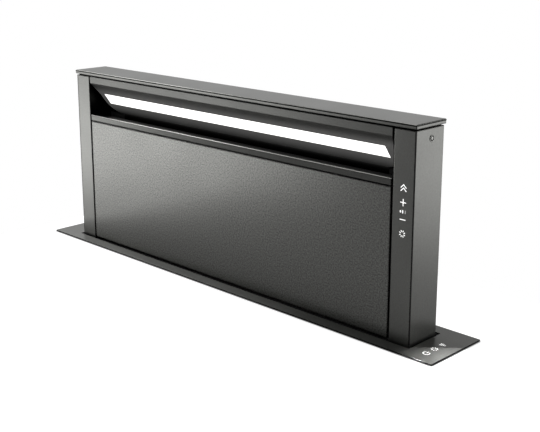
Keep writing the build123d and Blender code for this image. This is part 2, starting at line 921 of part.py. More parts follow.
def involute(radius):
    """The involute function of the pressure angle at this radius."""
    angle = math.acos(min(1.0, base_radius / radius))
    return math.tan(angle) - angle


half_tooth = math.pi / 2 / pinion_teeth - backlash / 2 / pitch_radius + involute(pitch_radius)
flank_middle = (pitch_radius + tip_radius) / 2
flank_radii = [root_radius, base_radius, pitch_radius, flank_middle, tip_radius]
pinion_outline = []
for tooth in range(pinion_teeth):
    middle = math.pi + tooth * 2 * math.pi / pinion_teeth
    rising = [(r, middle - half_tooth + involute(max(r, base_radius))) for r in flank_radii]
    falling = [(r, 2 * middle - a) for r, a in reversed(rising)]
    pinion_outline += [(r * math.cos(a), r * math.sin(a)) for r, a in rising + falling]

pinion_face = Plane(
    origin=(rack_x - pinion_width / 2, shaft_y, shaft_z), x_dir=(0, 1, 0), z_dir=(1, 0, 0)
)
with BuildPart() as pinions:
    with BuildSketch(pinion_face):
        with BuildLine():
            Polyline(*pinion_outline, close=True)
        make_face()
        Circle(shaft_radius, mode=Mode.SUBTRACT)
    extrude(amount=pinion_width)
    mirror(about=Plane.YZ)

with BuildPart() as shaft_bearings:
    with BuildSketch(Plane.YZ.offset(bearing_x - bearing_width / 2)):
        with BuildLine():
            Polyline(
                (chassis_half_depth, shaft_z - bearing_half - bearing_nose),
                (chassis_half_depth, shaft_z + bearing_half + bearing_nose),
                (shaft_y + bearing_nose, shaft_z + bearing_half),
                (shaft_y - bearing_nose, shaft_z + bearing_tip),
                (shaft_y - bearing_nose, shaft_z - bearing_tip),
                (shaft_y + bearing_nose, shaft_z - bearing_half),
                close=True,
            )
        make_face()
        with Locations((shaft_y, shaft_z)):
            Circle(shaft_radius + fit_clear, mode=Mode.SUBTRACT)
    extrude(amount=bearing_width)
    mirror(about=Plane.YZ)

# ---- lift drive ------------------------------------------------------------------------------

drive_front = shaft_y - drive_nose
drive_flange_width = 2 * (drive_half_width + drive_flange_side)
drive_flange_height = 2 * (drive_half_height + drive_flange_high)
with BuildPart() as lift_gearbox:
    with BuildSketch(Plane.YZ.offset(drive_x - drive_half_width)):
        with Locations((drive_front + drive_deep / 2, shaft_z)):
            RectangleRounded(drive_deep, 2 * drive_half_height, drive_corner)
        with Locations((shaft_y, shaft_z)):
            Circle(shaft_radius + fit_clear, mode=Mode.SUBTRACT)
    extrude(amount=2 * drive_half_width)
    with BuildSketch(upright(back_wall_outer)):
        with Locations((drive_x, shaft_z)):
            RectangleRounded(drive_flange_width, drive_flange_height, drive_corner)
    extrude(amount=-drive_flange)

drive_motor_y = back_wall_outer + drive_motor_radius + drive_motor_gap
motor_head = shaft_z - drive_half_height
with BuildPart() as lift_motor:
    with BuildSketch(Plane.XY.offset(motor_head)):
        with Locations((drive_x, drive_motor_y)):
            Circle(drive_motor_radius)
    extrude(amount=-drive_motor_length)
    with BuildSketch(Plane.XY.offset(motor_head - drive_motor_length)):
        with Locations((drive_x, drive_motor_y)):
            Circle(drive_cap_radius)
    extrude(amount=-drive_cap_length)
    fillet(lift_motor.edges().filter_by(GeomType.CIRCLE).group_by(Axis.Z)[0], drive_cap_fillet)

# ---- chassis ---------------------------------------------------------------------------------

chassis_high = -chassis_floor_z
chassis_mid = chassis_floor_z / 2
screw_x = end_wall_x - flange / 2 + wall / 2
screw_step = (chassis_high - 2 * screw_inset) / (screw_count - 1)
screw_rows = [chassis_floor_z + screw_inset + n * screw_step for n in range(screw_count)]
screw_places = [(side * screw_x, z) for side in (-1, 1) for z in screw_rows]

with BuildPart() as chassis_end_right:
    with BuildSketch(Plane.XY.offset(chassis_floor_z)):
        with BuildLine():
            Polyline(
                (chassis_half - flange, -chassis_half_depth),
                (chassis_half, -chassis_half_depth),
                (chassis_half, chassis_half_depth),
                (chassis_half - flange, chassis_half_depth),
                (chassis_half - flange, chassis_half_depth - wall),
                (end_wall_x, chassis_half_depth - wall),
                (end_wall_x, wall - chassis_half_depth),
                (chassis_half - flange, wall - chassis_half_depth),
                close=True,
            )
        make_face()
    extrude(amount=chassis_high)
    with BuildSketch(upright(-chassis_half_depth)):
        with Locations(*[p for p in screw_places if p[0] > 0]):
            Circle(screw_shank)
    extrude(amount=-2 * chassis_half_depth, mode=Mode.SUBTRACT)

with BuildPart() as chassis_end_left:
    mirror(chassis_end_right.part, about=Plane.YZ)

with BuildPart() as chassis_front_panel:
    with BuildSketch(upright(-chassis_half_depth)):
        with Locations((0, chassis_mid)):
            Rectangle(2 * chassis_half, chassis_high)
        with Locations(*screw_places):
            Circle(screw_shank, mode=Mode.SUBTRACT)
    extrude(amount=skin)
    with BuildSketch(upright(-chassis_half_depth - skin)):
        with Locations((0, chassis_mid + bead_offset), (0, chassis_mid - bead_offset)):
            RectangleRounded(2 * (end_wall_x - bead_inset), bead_width, bead_corner)
    extrude(amount=bead_height, taper=bead_taper)

window_width = 2 * (drive_half_width + drive_window_gap)
window_height = 2 * (drive_half_height + drive_window_gap)
with BuildPart() as chassis_back_panel:
    with BuildSketch(upright(back_wall_outer)):
        with Locations((0, chassis_mid)):
            Rectangle(2 * chassis_half, chassis_high)
        with Locations(*screw_places):
            Circle(screw_shank, mode=Mode.SUBTRACT)
        with Locations((blower_x, blower_z)):
            Circle(inlet_radius + wall + inlet_clear, mode=Mode.SUBTRACT)
        with Locations((drive_x, shaft_z)):
            Rectangle(window_width, window_height, mode=Mode.SUBTRACT)
    extrude(amount=skin)

upstand_half = chassis_half - flange - floor_clear
with BuildPart() as chassis_floor:
    with BuildSketch(Plane.XY.offset(chassis_floor_z - wall)):
        Rectangle(2 * chassis_half, 2 * back_wall_outer)
    extrude(amount=wall)
    with BuildSketch(Plane.XY.offset(chassis_floor_z)):
        Rectangle(2 * upstand_half, 2 * chassis_half_depth)
        Rectangle(2 * (upstand_half - skin), 2 * (chassis_half_depth - skin), mode=Mode.SUBTRACT)
    extrude(amount=floor_lip)

with BuildPart() as chassis_screws:
    for y, out in ((-back_wall_outer, 1), (back_wall_outer, -1)):
        with BuildSketch(upright(y)):
            with Locations(*screw_places):
                Circle(screw_radius)
        extrude(amount=out * screw_high)
        with BuildSketch(upright(y)):
            with Locations(*screw_places):
                Circle(screw_shank)
        extrude(amount=-out * (skin + wall + screw_tail))

with BuildPart() as foot_brackets:
    with BuildSketch(upright(-foot_width / 2)):
        with BuildLine():
            Polyline(
                (chassis_half, foot_z),
                (chassis_half + foot_reach, foot_z),
                (chassis_half + foot_reach, foot_z + foot_sheet),
                (chassis_half + foot_sheet, foot_z + foot_sheet),
                (chassis_half + foot_sheet, foot_z + foot_leg),
                (chassis_half, foot_z + foot_leg),
                close=True,
            )
        make_face()
    extrude(amount=-foot_width)
    with BuildSketch(Plane.XY.offset(foot_z)):
        with Locations((foot_hole_x, -foot_hole_y), (foot_hole_x, foot_hole_y)):
            Circle(foot_hole_radius)
    extrude(amount=foot_sheet, mode=Mode.SUBTRACT)
    mirror(about=Plane.YZ)

clamp_z = -clamp_drop
clamp_places = [(clamp_screw_x, -clamp_y), (clamp_screw_x, clamp_y)]
with BuildPart() as clamp_brackets:
    for screw in clamp_places:
        with BuildSketch(upright(screw[1] - clamp_width / 2)):
            with BuildLine():
                Polyline(
                    (chassis_half, clamp_z),
                    (chassis_half + clamp_reach, clamp_z),
                    (chassis_half + clamp_reach, clamp_z - clamp_sheet),
                    (chassis_half + clamp_sheet, clamp_z - clamp_sheet),
                    (chassis_half + clamp_sheet, clamp_z - clamp_leg),
                    (chassis_half, clamp_z - clamp_leg),
                    close=True,
                )
            make_face()
        extrude(amount=-clamp_width)
    with BuildSketch(Plane.XY.offset(clamp_z)):
        with Locations(*clamp_places):
            Circle(clamp_screw_radius)
    extrude(amount=-clamp_sheet, mode=Mode.SUBTRACT)
    mirror(about=Plane.YZ)

with BuildPart() as clamp_screws:
    with BuildSketch(Plane.XY.offset(clamp_z - clamp_screw_half)):
        with Locations(*clamp_places):
            Circle(clamp_screw_radius)
    extrude(amount=2 * clamp_screw_half)
    with BuildSketch(Plane.XY.offset(clamp_z + clamp_screw_half)):
        with Locations(*clamp_places):
            Circle(clamp_pad_radius)
    extrude(amount=clamp_pad_thick)
    with BuildSketch(Plane.XY.offset(clamp_z - clamp_screw_half - clamp_nut_high)):
        with Locations(*clamp_places):
            RegularPolygon(clamp_nut_radius, 6)
    extrude(amount=clamp_nut_high)
    mirror(about=Plane.YZ)

# ---- blower ----------------------------------------------------------------------------------

tongue_drop = blower_z - outlet_high
tongue_angle = 180 + math.degrees(math.asin(tongue_drop / scroll_small))
scroll_turn = tongue_angle + 90
scroll_arcs = 4


def scroll_point(share):
    """A point of the spiral: the radius grows evenly with the angle, clockwise from the tongue."""
    angle = math.radians(tongue_angle - share * scroll_turn)
    radius = scroll_small + share * (scroll_large - scroll_small)
    return (radius * math.cos(angle), radius * math.sin(angle))


spiral = [scroll_point(step / (2 * scroll_arcs)) for step in range(2 * scroll_arcs + 1)]
mouth = outlet_x - blower_x

with BuildSketch() as scroll_outline:
    with BuildLine():
        for arc in range(scroll_arcs):
            ThreePointArc(*spiral[2 * arc : 2 * arc + 3])
        Line(spiral[-1], (mouth, spiral[-1][1]))
        Line((mouth, spiral[-1][1]), (mouth, outlet_high - blower_z))
        Line((mouth, outlet_high - blower_z), spiral[0])
    make_face()

with BuildSketch() as scroll_bore:
    add(scroll_outline.sketch)
    offset(amount=-scroll_wall, mode=Mode.REPLACE)

with BuildPart() as blower_scroll:
    with BuildSketch(around_blower(scroll_front)):
        add(scroll_outline.sketch)
        add(scroll_bore.sketch, mode=Mode.SUBTRACT)
        with Locations((mouth + scroll_wall / 2, collar_z - blower_z)):
            Rectangle(2 * scroll_wall, outlet_height - 2 * scroll_wall, mode=Mode.SUBTRACT)
    extrude(amount=-blower_deep)

with BuildPart() as blower_inlet_plate:
    with BuildSketch(around_blower(back_wall_outer)):
        add(scroll_outline.sketch)
        Circle(inlet_radius, mode=Mode.SUBTRACT)
    extrude(amount=-wall)
    with BuildSketch(around_blower(back_wall_outer)):
        Circle(inlet_radius + wall)
        Circle(inlet_radius, mode=Mode.SUBTRACT)
    extrude(amount=inlet_lip)

motor_front = scroll_back + wall
motor_back = motor_front + motor_deep
screw_circle = motor_radius - motor_screw_inset
with BuildPart() as blower_back_plate:
    with BuildSketch(around_blower(scroll_back)):
        add(scroll_outline.sketch)
        Circle(hub_radius + hub_clear, mode=Mode.SUBTRACT)
        with PolarLocations(screw_circle, motor_screw_count, start_angle=motor_screw_turn):
            Circle(screw_shank, mode=Mode.SUBTRACT)
    extrude(amount=-wall)

with BuildPart() as blower_motor:
    with BuildSketch(around_blower(motor_front)):
        Circle(motor_radius)
        with PolarLocations(screw_circle, motor_screw_count, start_angle=motor_screw_turn):
            Circle(screw_shank, mode=Mode.SUBTRACT)
    extrude(amount=-motor_flange)
    with BuildSketch(around_blower(motor_front + motor_flange)):
        Circle(motor_radius - motor_step)
    extrude(amount=motor_flange - motor_deep)
    fillet(blower_motor.edges().filter_by(GeomType.CIRCLE).group_by(Axis.Y)[-1], motor_round)
    with BuildSketch(around_blower(motor_front)):
        Circle(shaft_radius + fit_clear)
    extrude(amount=motor_cap - motor_deep, mode=Mode.SUBTRACT)

with BuildPart() as blower_screws:
    with BuildSketch(around_blower(motor_front + motor_flange)):
        with PolarLocations(screw_circle, motor_screw_count, start_angle=motor_screw_turn):
            Circle(screw_radius)
    extrude(amount=-screw_high)
    with BuildSketch(around_blower(motor_front + motor_flange)):
        with PolarLocations(screw_circle, motor_screw_count, start_angle=motor_screw_turn):
            Circle(screw_shank)
    extrude(amount=motor_flange + wall + motor_screw_tail)

impeller_front = scroll_front + impeller_gap
impeller_back = scroll_back - impeller_back_gap
impeller_width = impeller_back - impeller_front
blade_foot = blade_inner_radius + blade_inset
blade_tip = impeller_radius - blade_inset
blade_curve = [
    (blade_foot, 0.0),
    ((blade_foot + blade_tip) / 2 - blade_lean, -blade_bulge),
    (blade_tip, -blade_sweep),
]
blade_back = [(x, y + blade_thick) for x, y in reversed(blade_curve)]
with BuildSketch() as blade:
    with BuildLine():
        ThreePointArc(*blade_curve)
        Line(blade_curve[-1], blade_back[0])
        ThreePointArc(*blade_back)
        Line(blade_back[-1], blade_curve[0])
    make_face()

with BuildPart() as impeller:
    with BuildSketch(around_blower(impeller_front)):
        Circle(impeller_radius)
        Circle(blade_inner_radius, mode=Mode.SUBTRACT)
    extrude(amount=-impeller_disc)
    with BuildSketch(around_blower(impeller_front)):
        with PolarLocations(0, blade_count):
            add(blade.sketch)
    extrude(amount=-impeller_width)
    with BuildSketch(around_blower(impeller_back - impeller_disc)):
        Circle(impeller_radius)
    extrude(amount=-impeller_disc)
    with BuildSketch(around_blower(impeller_back - hub_depth)):
        Circle(hub_radius)
    extrude(amount=-(hub_depth + hub_tail))
    with BuildSketch(around_blower(impeller_back - hub_depth)):
        Circle(shaft_radius)
    extrude(amount=-(hub_depth + hub_tail), mode=Mode.SUBTRACT)

fan_shaft_front = impeller_back - hub_depth - hub_grip
fan_shaft_back = motor_back - motor_cap - shaft_end_gap
with BuildPart() as fan_shaft:
    with BuildSketch(around_blower(fan_shaft_front)):
        Circle(shaft_radius)
    extrude(amount=fan_shaft_front - fan_shaft_back)

# ---- outlet collar and damper ------------------------------------------------------------------

box_end_depth = blower_deep + 2 * wall
with BuildPart() as outlet_collar:
    with BuildSketch(Plane.YZ.offset(outlet_x)):
        with Locations(((back_wall_outer + motor_front) / 2, collar_z)):
            RectangleRounded(box_end_depth, outlet_height, collar_corner)
    with BuildSketch(Plane.YZ.offset(collar_start_x)):
        with Locations((collar_y, collar_z)):
            Circle(collar_radius)
    loft()
    with BuildSketch(Plane.YZ.offset(collar_start_x)):
        with Locations((collar_y, collar_z)):
            Circle(collar_radius)
    extrude(amount=collar_end_x - collar_start_x)

with BuildPart() as outlet_core:
    with BuildSketch(Plane.YZ.offset(outlet_x)):
        with Locations(((back_wall_outer + motor_front) / 2, collar_z)):
            RectangleRounded(
                box_end_depth - 2 * scroll_wall, outlet_height - 2 * scroll_wall, collar_corner - scroll_wall
            )
    with BuildSketch(Plane.YZ.offset(collar_start_x)):
        with Locations((collar_y, collar_z)):
            Circle(bore_radius)
    loft()
    with BuildSketch(Plane.YZ.offset(collar_start_x)):
        with Locations((collar_y, collar_z)):
            Circle(bore_radius)
    extrude(amount=collar_end_x - collar_start_x)

seat_x = damper_x + flap_offset + flap_thick + seat_gap
with outlet_collar:
    add(outlet_core.part, mode=Mode.SUBTRACT)
    with BuildSketch(Plane.YZ.offset(seat_x)):
        with Locations((collar_y, collar_z)):
            Circle(bore_radius + collar_wall / 2)
            Circle(bore_radius - seat_width, mode=Mode.SUBTRACT)
    extrude(amount=seat_thick)
    with BuildSketch(Plane.XY.offset(collar_z - collar_radius)):
        with Locations((damper_x, collar_y)):
            Circle(damper_pin_radius)
    extrude(amount=2 * collar_radius, mode=Mode.SUBTRACT)

with BuildPart() as damper_pin:
    with BuildSketch(Plane.XY.offset(collar_z - collar_radius + damper_pin_recess)):
        with Locations((damper_x, collar_y)):
            Circle(damper_pin_radius)
    extrude(amount=2 * (collar_radius - damper_pin_recess))

knuckle_rows = [row * knuckle_pitch for row in (-1.5, -0.5, 0.5, 1.5)]


def damper_flap(side, own_rows):
    """A half disc on the outflow side of the pin, with two knuckles round it."""
    with BuildPart() as flap:
        with BuildSketch(Plane.YZ.offset(damper_x + flap_offset)):
            with Locations((collar_y, collar_z)):
                Circle(flap_radius)
                with Locations((side * (flap_split - flap_radius), 0)):
                    Rectangle(2 * flap_radius, 2 * flap_radius, mode=Mode.SUBTRACT)
        extrude(amount=flap_thick)
        for row in own_rows:
            with BuildSketch(Plane.XY.offset(collar_z + row - knuckle_length / 2)):
                with Locations((damper_x, collar_y)):
                    Circle(knuckle_radius)
                    with Locations((0, side * knuckle_radius)):
                        Rectangle(knuckle_web, knuckle_web_reach)
            extrude(amount=knuckle_length)
        for row in knuckle_rows:
            hole = damper_pin_radius + fit_clear if row in own_rows else knuckle_radius + knuckle_clear
            with BuildSketch(Plane.XY.offset(collar_z + row - knuckle_length / 2 - flap_split)):
                with Locations((damper_x, collar_y)):
                    Circle(hole)
            extrude(amount=knuckle_length + 2 * flap_split, mode=Mode.SUBTRACT)
        with BuildSketch(Plane.XY.offset(collar_z - collar_radius)):
            with Locations((damper_x, collar_y)):
                Circle(damper_pin_radius + fit_clear)
        extrude(amount=2 * collar_radius, mode=Mode.SUBTRACT)
    return flap


damper_flap_front = damper_flap(-1, knuckle_rows[0::2])
damper_flap_back = damper_flap(1, knuckle_rows[1::2])

# ---- control box --------------------------------------------------------------------------------

with BuildPart() as control_box:
    with BuildSketch(upright(back_wall_outer)):
        with Locations((box_x, box_z)):
            RectangleRounded(box_width, box_height, box_corner)
    extrude(amount=box_wall - box_deep)
    with BuildSketch(upright(back_wall_outer + box_wall)):
        with Locations((box_x, box_z)):
            RectangleRounded(box_width - 2 * box_wall, box_height - 2 * box_wall, box_corner - box_wall)
    extrude(amount=-box_deep, mode=Mode.SUBTRACT)
    with BuildSketch(Plane.XY.offset(grommet_z)):
        with Locations((grommet_x, grommet_y)):
            Circle(grommet_neck)
    extrude(amount=box_wall, mode=Mode.SUBTRACT)

with BuildPart() as control_box_lid:
    with BuildSketch(upright(back_wall_outer + box_deep - box_wall)):
        with Locations((box_x, box_z)):
            RectangleRounded(box_width, box_height, box_corner)
    extrude(amount=-box_wall)
    with BuildSketch(upright(back_wall_outer + box_deep)):
        with Locations((box_x, box_z)):
            RectangleRounded(box_width - 2 * lid_inset, box_height - 2 * lid_inset, box_corner)
    extrude(amount=-lid_step, taper=lid_taper)

with BuildPart() as cable_grommet:
    with BuildSketch(Plane.XY.offset(grommet_z - grommet_collar)):
        with Locations((grommet_x, grommet_y)):
            Circle(grommet_radius)
            Circle(cable_radius, mode=Mode.SUBTRACT)
    extrude(amount=grommet_collar)
    with BuildSketch(Plane.XY.offset(grommet_z)):
        with Locations((grommet_x, grommet_y)):
            Circle(grommet_neck)
            Circle(cable_radius, mode=Mode.SUBTRACT)
    extrude(amount=grommet_tail)

# ---- write every piece --------------------------------------------------------------------------

os.makedirs("parts", exist_ok=True)
pieces = {
    "cover_plate": cover_plate,
    "plate_gasket": plate_gasket,
    "worktop_frame": worktop_frame,
    "touch_foil": touch_foil,
    "top_cap": top_cap,
    "pillar_left": pillar_left,
    "pillar_right": pillar_right,
    "cap_screws": cap_screws,
    "back_panel": back_panel,
    "sill_rail": sill_rail,
    "magnet_catches": magnet_catches,
    "deflector": deflector,
    "lamp_channel": lamp_channel,
    "led_board": led_board,
    "light_diffuser": light_diffuser,
    "front_panel": front_panel,
    "panel_liner": panel_liner,
    "panel_hinge_pins": panel_hinge_pins,
    "filter_frame": filter_frame,
    "grease_filter_left": grease_filter_left,
    "grease_filter_right": grease_filter_right,
    "pillar_touch_board": pillar_touch_board,
    "lift_column_left": lift_column_left,
    "lift_column_right": lift_column_right,
    "rack_left": rack_left,
    "rack_right": rack_right,
    "bottom_crosspiece": bottom_crosspiece,
    "slide_carriage_left": slide_carriage_left,
    "slide_carriage_right": slide_carriage_right,
    "guide_rail_left": guide_rail_left,
    "guide_rail_right": guide_rail_right,
    "ball_cages": ball_cages,
    "cross_shaft": cross_shaft,
    "pinions": pinions,
    "shaft_bearings": shaft_bearings,
    "lift_gearbox": lift_gearbox,
    "lift_motor": lift_motor,
    "chassis_end_left": chassis_end_left,
    "chassis_end_right": chassis_end_right,
    "chassis_front_panel": chassis_front_panel,
    "chassis_back_panel": chassis_back_panel,
    "chassis_floor": chassis_floor,
    "chassis_screws": chassis_screws,
    "foot_brackets": foot_brackets,
    "clamp_brackets": clamp_brackets,
    "clamp_screws": clamp_screws,
    "blower_scroll": blower_scroll,
    "blower_inlet_plate": blower_inlet_plate,
    "blower_back_plate": blower_back_plate,
    "blower_motor": blower_motor,
    "blower_screws": blower_screws,
    "impeller": impeller,
    "fan_shaft": fan_shaft,
    "outlet_collar": outlet_collar,
    "damper_pin": damper_pin,
    "damper_flap_front": damper_flap_front,
    "damper_flap_back": damper_flap_back,
    "control_box": control_box,
    "control_box_lid": control_box_lid,
    "cable_grommet": cable_grommet,
}
for name, piece in pieces.items():
    piece.part.label = name
    export_step(piece.part, f"parts/{name}.step")
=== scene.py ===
import bpy
import math
import numpy as np
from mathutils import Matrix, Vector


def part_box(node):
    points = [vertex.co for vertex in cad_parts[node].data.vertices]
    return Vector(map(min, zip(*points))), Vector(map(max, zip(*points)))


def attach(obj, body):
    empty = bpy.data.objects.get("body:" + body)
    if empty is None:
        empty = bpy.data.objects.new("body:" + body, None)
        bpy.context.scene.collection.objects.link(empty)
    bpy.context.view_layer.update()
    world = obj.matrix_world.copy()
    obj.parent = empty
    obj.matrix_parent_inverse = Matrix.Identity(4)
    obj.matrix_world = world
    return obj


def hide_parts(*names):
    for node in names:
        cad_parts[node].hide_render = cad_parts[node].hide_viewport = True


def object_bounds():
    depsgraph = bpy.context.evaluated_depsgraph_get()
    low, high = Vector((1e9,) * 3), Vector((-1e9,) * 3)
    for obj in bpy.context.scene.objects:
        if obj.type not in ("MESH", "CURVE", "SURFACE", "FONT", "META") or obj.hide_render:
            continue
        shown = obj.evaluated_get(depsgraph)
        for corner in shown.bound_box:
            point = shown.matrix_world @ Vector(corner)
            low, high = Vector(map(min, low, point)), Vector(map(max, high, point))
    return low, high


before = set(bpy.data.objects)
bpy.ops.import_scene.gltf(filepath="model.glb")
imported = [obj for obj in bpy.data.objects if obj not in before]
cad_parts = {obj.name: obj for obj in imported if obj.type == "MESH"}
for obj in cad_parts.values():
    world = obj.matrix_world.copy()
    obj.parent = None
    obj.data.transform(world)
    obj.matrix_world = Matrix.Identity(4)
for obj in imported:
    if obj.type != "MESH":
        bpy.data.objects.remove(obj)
cad_box = [list(corner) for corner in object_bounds()]

# ---- camera -------------------------------------------------------------------------------------
# The photograph's view: a little above the cap, on the right front corner. A small part of its
# vertical shift is kept, and the rest of it is a slight downward tilt.

camera_place = (1.16902, -1.10203, 0.57149)
downward_tilt = 0.23723
turn_to_left = 0.77799

scene = bpy.context.scene
scene.view_settings.view_transform = "Standard"
lens = bpy.data.cameras.new("camera")
lens.lens = 66.32
lens.sensor_width = 36.0
lens.shift_y = -0.08
lens.clip_end = 50.0
lens.dof.use_dof = False
camera = bpy.data.objects.new("camera", lens)
scene.collection.objects.link(camera)
camera.location = camera_place
camera.rotation_euler = (math.pi / 2 - downward_tilt, 0.0, turn_to_left)
scene.camera = camera

# ---- worktop and floor --------------------------------------------------------------------------
# A pale slab stands for the worktop, with the cut-out that the vent hangs in, and the vent's feet
# stand on a pale floor. Both are nearly white to the camera and keep the shadows near the vent,
# and painted shade darkens them close to what stands on them.

worktop_front_left = (-0.50, -0.575)
worktop_back_right = (0.66, 0.10)
cut_out_half = (0.415, 0.054)
worktop_thick = 0.012
worktop_clear = 0.0002
floor_half = 1.9
floor_clear = 0.0005
contact_shadow = 0.006
square = np.array([(-1, -1), (1, -1), (1, 1), (-1, 1)])


def add_mesh(name, points, faces, smooth=True):
    """A mesh object at the origin from an (n, 3) array of points in metres and lists of faces."""
    mesh = bpy.data.meshes.new(name)
    mesh.from_pydata(np.asarray(points, float).tolist(), [], faces)
    mesh.update()
    mesh.polygons.foreach_set("use_smooth", [smooth] * len(mesh.polygons))
    piece = bpy.data.objects.new(name, mesh)
    scene.collection.objects.link(piece)
    return piece


def ring_faces(rings, around, closed=False):
    """Four-sided faces from each ring of points to the next, and from the last ring to the first
    where closed. Point k of ring n is number n * around + k."""
    ring, point = np.mgrid[: rings if closed else rings - 1, :around]
    after, beside = (ring + 1) % rings, (point + 1) % around
    start, end = ring * around, after * around
    corners = [start + point, end + point, end + beside, start + beside]
    return np.stack(corners, -1).reshape(-1, 4).tolist()


def slab_with_cut(low, high, half_cut, thick):
    """A slab with a cut-out round the origin: the profile of four corners, outside top and bottom
    and inside bottom and top, is carried round the rectangle."""
    outer = np.where(square > 0, high, low)
    inner = square * half_cut
    rings = [
        np.column_stack([flat, np.full(4, level)])
        for flat, level in ((outer, 0.0), (outer, -thick), (inner, -thick), (inner, 0.0))
    ]
    return np.vstack(rings), ring_faces(4, 4, closed=True)


def feed(tree, node, inputs):
    """Each named input of the node gets its value, or a link where it is another node's output."""
    for field, value in inputs.items():
        if isinstance(value, bpy.types.NodeSocket):
            tree.links.new(value, node.inputs[field])
        else:
            node.inputs[field].default_value = value
    return node


def add(tree, kind, inputs=(), **settings):
    """A new shader node of this kind with its settings, fed with its inputs."""
    node = tree.nodes.new("ShaderNode" + kind)
    for field, value in settings.items():
        setattr(node, field, value)
    return feed(tree, node, dict(inputs))


def worked_out(tree, operation, *values):
    """The result of one sum on sockets or numbers."""
    return add(tree, "Math", dict(enumerate(values)), operation=operation).outputs[0]


def seen_straight(tree):
    """1 for what the camera sees, also through glass, and 0 for light and reflections."""
    rays = add(tree, "LightPath").outputs
    return worked_out(tree, "MAXIMUM", rays["Is Camera Ray"], rays["Is Transmission Ray"])


def new_material(name):
    """A material, its node tree and its Principled shader."""
    material = bpy.data.materials.new(name)
    material.use_nodes = True
    return material, material.node_tree, material.node_tree.nodes["Principled BSDF"]


def pale_ground(name, tone, glow):
    """A pale matt surface that also glows to the camera: glow times the square of the share of
    open air above the point, so it dims close to what stands there. This dimming, and its colour
    darkened by the same share, are painted shade."""
    material, tree, matt = new_material(name)
    open_air = add(
        tree, "AmbientOcclusion", {"Distance": contact_shadow, "Color": (tone, tone, tone, 1)}
    ).outputs
    # painted shade: the colour is darkened where little open air is above
    feed(tree, matt, {"Roughness": 0.9, "Base Color": open_air["Color"]})
    openness = worked_out(tree, "POWER", open_air["AO"], 2.0)
    white = add(tree, "Emission", {"Strength": worked_out(tree, "MULTIPLY", openness, glow)})
    both = add(tree, "AddShader", {0: matt.outputs[0], 1: white.outputs[0]})
    pick = add(tree, "MixShader", {0: seen_straight(tree), 1: matt.outputs[0], 2: both.outputs[0]})
    feed(tree, tree.nodes["Material Output"], {"Surface": pick.outputs[0]})
    return material


slab, slab_faces = slab_with_cut(
    worktop_front_left, worktop_back_right, cut_out_half, worktop_thick
)
worktop = add_mesh("worktop_piece", slab - (0.0, 0.0, worktop_clear), slab_faces, smooth=False)
worktop.data.materials.append(pale_ground("pale_worktop", 0.44, 0.86))
worktop.data.materials.append(pale_ground("worktop_edge", 0.55, 0.0))
upward = np.array([face.normal[2] for face in worktop.data.polygons])
worktop.data.polygons.foreach_set("material_index", (upward < 0.5).astype(int))
floor_level = np.full(4, cad_box[0][2] - floor_clear)
floor = add_mesh(
    "floor", np.column_stack([square * floor_half, floor_level]), [(0, 1, 2, 3)], smooth=False
)
floor.data.materials.append(pale_ground("pale_floor", 0.42, 0.9))

# ---- surround and lamps -------------------------------------------------------------------------
# The surround is white to the camera and an even grey to diffuse light. Reflections show it dim
# below, in front, high up and towards the right front. Soft lamps light the vent from the top, the
# left and the right back.

even_light = 0.45
dark_flag = (0.80, -0.58, -0.15)


def ranged(tree, value, start, end, low, high, smooth=False):
    """The socket's value carried from start..end to low..high and held there beyond, in a straight
    line or as a smooth step."""
    ends = {"Value": value, "From Min": start, "From Max": end, "To Min": low, "To Max": high}
    shape = "SMOOTHSTEP" if smooth else "LINEAR"
    return add(tree, "MapRange", ends, interpolation_type=shape).outputs[0]


def product(tree, *sockets):
    """All the sockets' values multiplied."""
    result = sockets[0]
    for socket in sockets[1:]:
        result = worked_out(tree, "MULTIPLY", result, socket)
    return result


world = bpy.data.worlds.new("studio")
scene.world = world
world.use_nodes = True
tree = world.node_tree
place = add(tree, "TexCoord").outputs["Generated"]
axes = add(tree, "SeparateXYZ", {0: place}).outputs
flagged = add(tree, "VectorMath", {0: place, 1: dark_flag}, operation="DOT_PRODUCT")
graded = product(
    tree,
    ranged(tree, axes["Z"], -0.45, -0.10, 0.25, 0.80, smooth=True),
    ranged(tree, axes["Z"], 0.28, 0.48, 1.0, 0.50, smooth=True),
    ranged(tree, axes["Y"], -0.55, -0.10, 0.24, 1.0, smooth=True),
    ranged(tree, flagged.outputs["Value"], 0.60, 0.88, 1.0, 0.04, smooth=True),
)
glossy = add(tree, "LightPath").outputs["Is Glossy Ray"]
unseen = add(tree, "Mix", {0: glossy, 2: even_light, 3: graded}, data_type="FLOAT").outputs[0]
strength = add(tree, "Mix", {0: seen_straight(tree), 2: unseen, 3: 1.0}, data_type="FLOAT")
feed(tree, tree.nodes["Background"], {"Color": (1, 1, 1, 1), "Strength": strength.outputs[0]})


def soft_lamp(name, place, aim, width, height, power):
    """A rectangular soft lamp that faces the aim point and isn't seen by the camera."""
    light = bpy.data.lights.new(name, "AREA")
    light.shape = "RECTANGLE"
    light.size = width
    light.size_y = height
    light.energy = power
    lamp = bpy.data.objects.new(name, light)
    scene.collection.objects.link(lamp)
    way = np.array(aim, float) - np.array(place, float)
    lamp.location = place
    lamp.rotation_euler = (
        math.pi / 2 + math.atan2(way[2], math.hypot(way[0], way[1])),
        0.0,
        math.atan2(way[1], way[0]) - math.pi / 2,
    )
    lamp.visible_camera = False


slot_middle = (0.0, 0.0, 0.0)
right_pillar = (0.39, 0.0, 0.15)
soft_lamp("top_lamp", (0.2, 0.3, 2.4), slot_middle, 1.8, 1.8, 22.0)
soft_lamp("left_lamp", (-2.05, -0.35, 1.45), slot_middle, 1.2, 1.2, 21.0)
soft_lamp("left_box", (-1.92, -1.34, -0.160), slot_middle, 1.3, 0.57, 7.6)
soft_lamp("right_box", (1.35, 1.65, 0.0), right_pillar, 1.0, 0.8, 3.7)

# A narrow spot brightens only the front right corner of the plate, as in the photograph.
lit_corner = np.array([0.476, -0.018, 0.0])
way_to_spot = np.array([-0.520, -0.42, 0.744])
spot_distance = 0.9

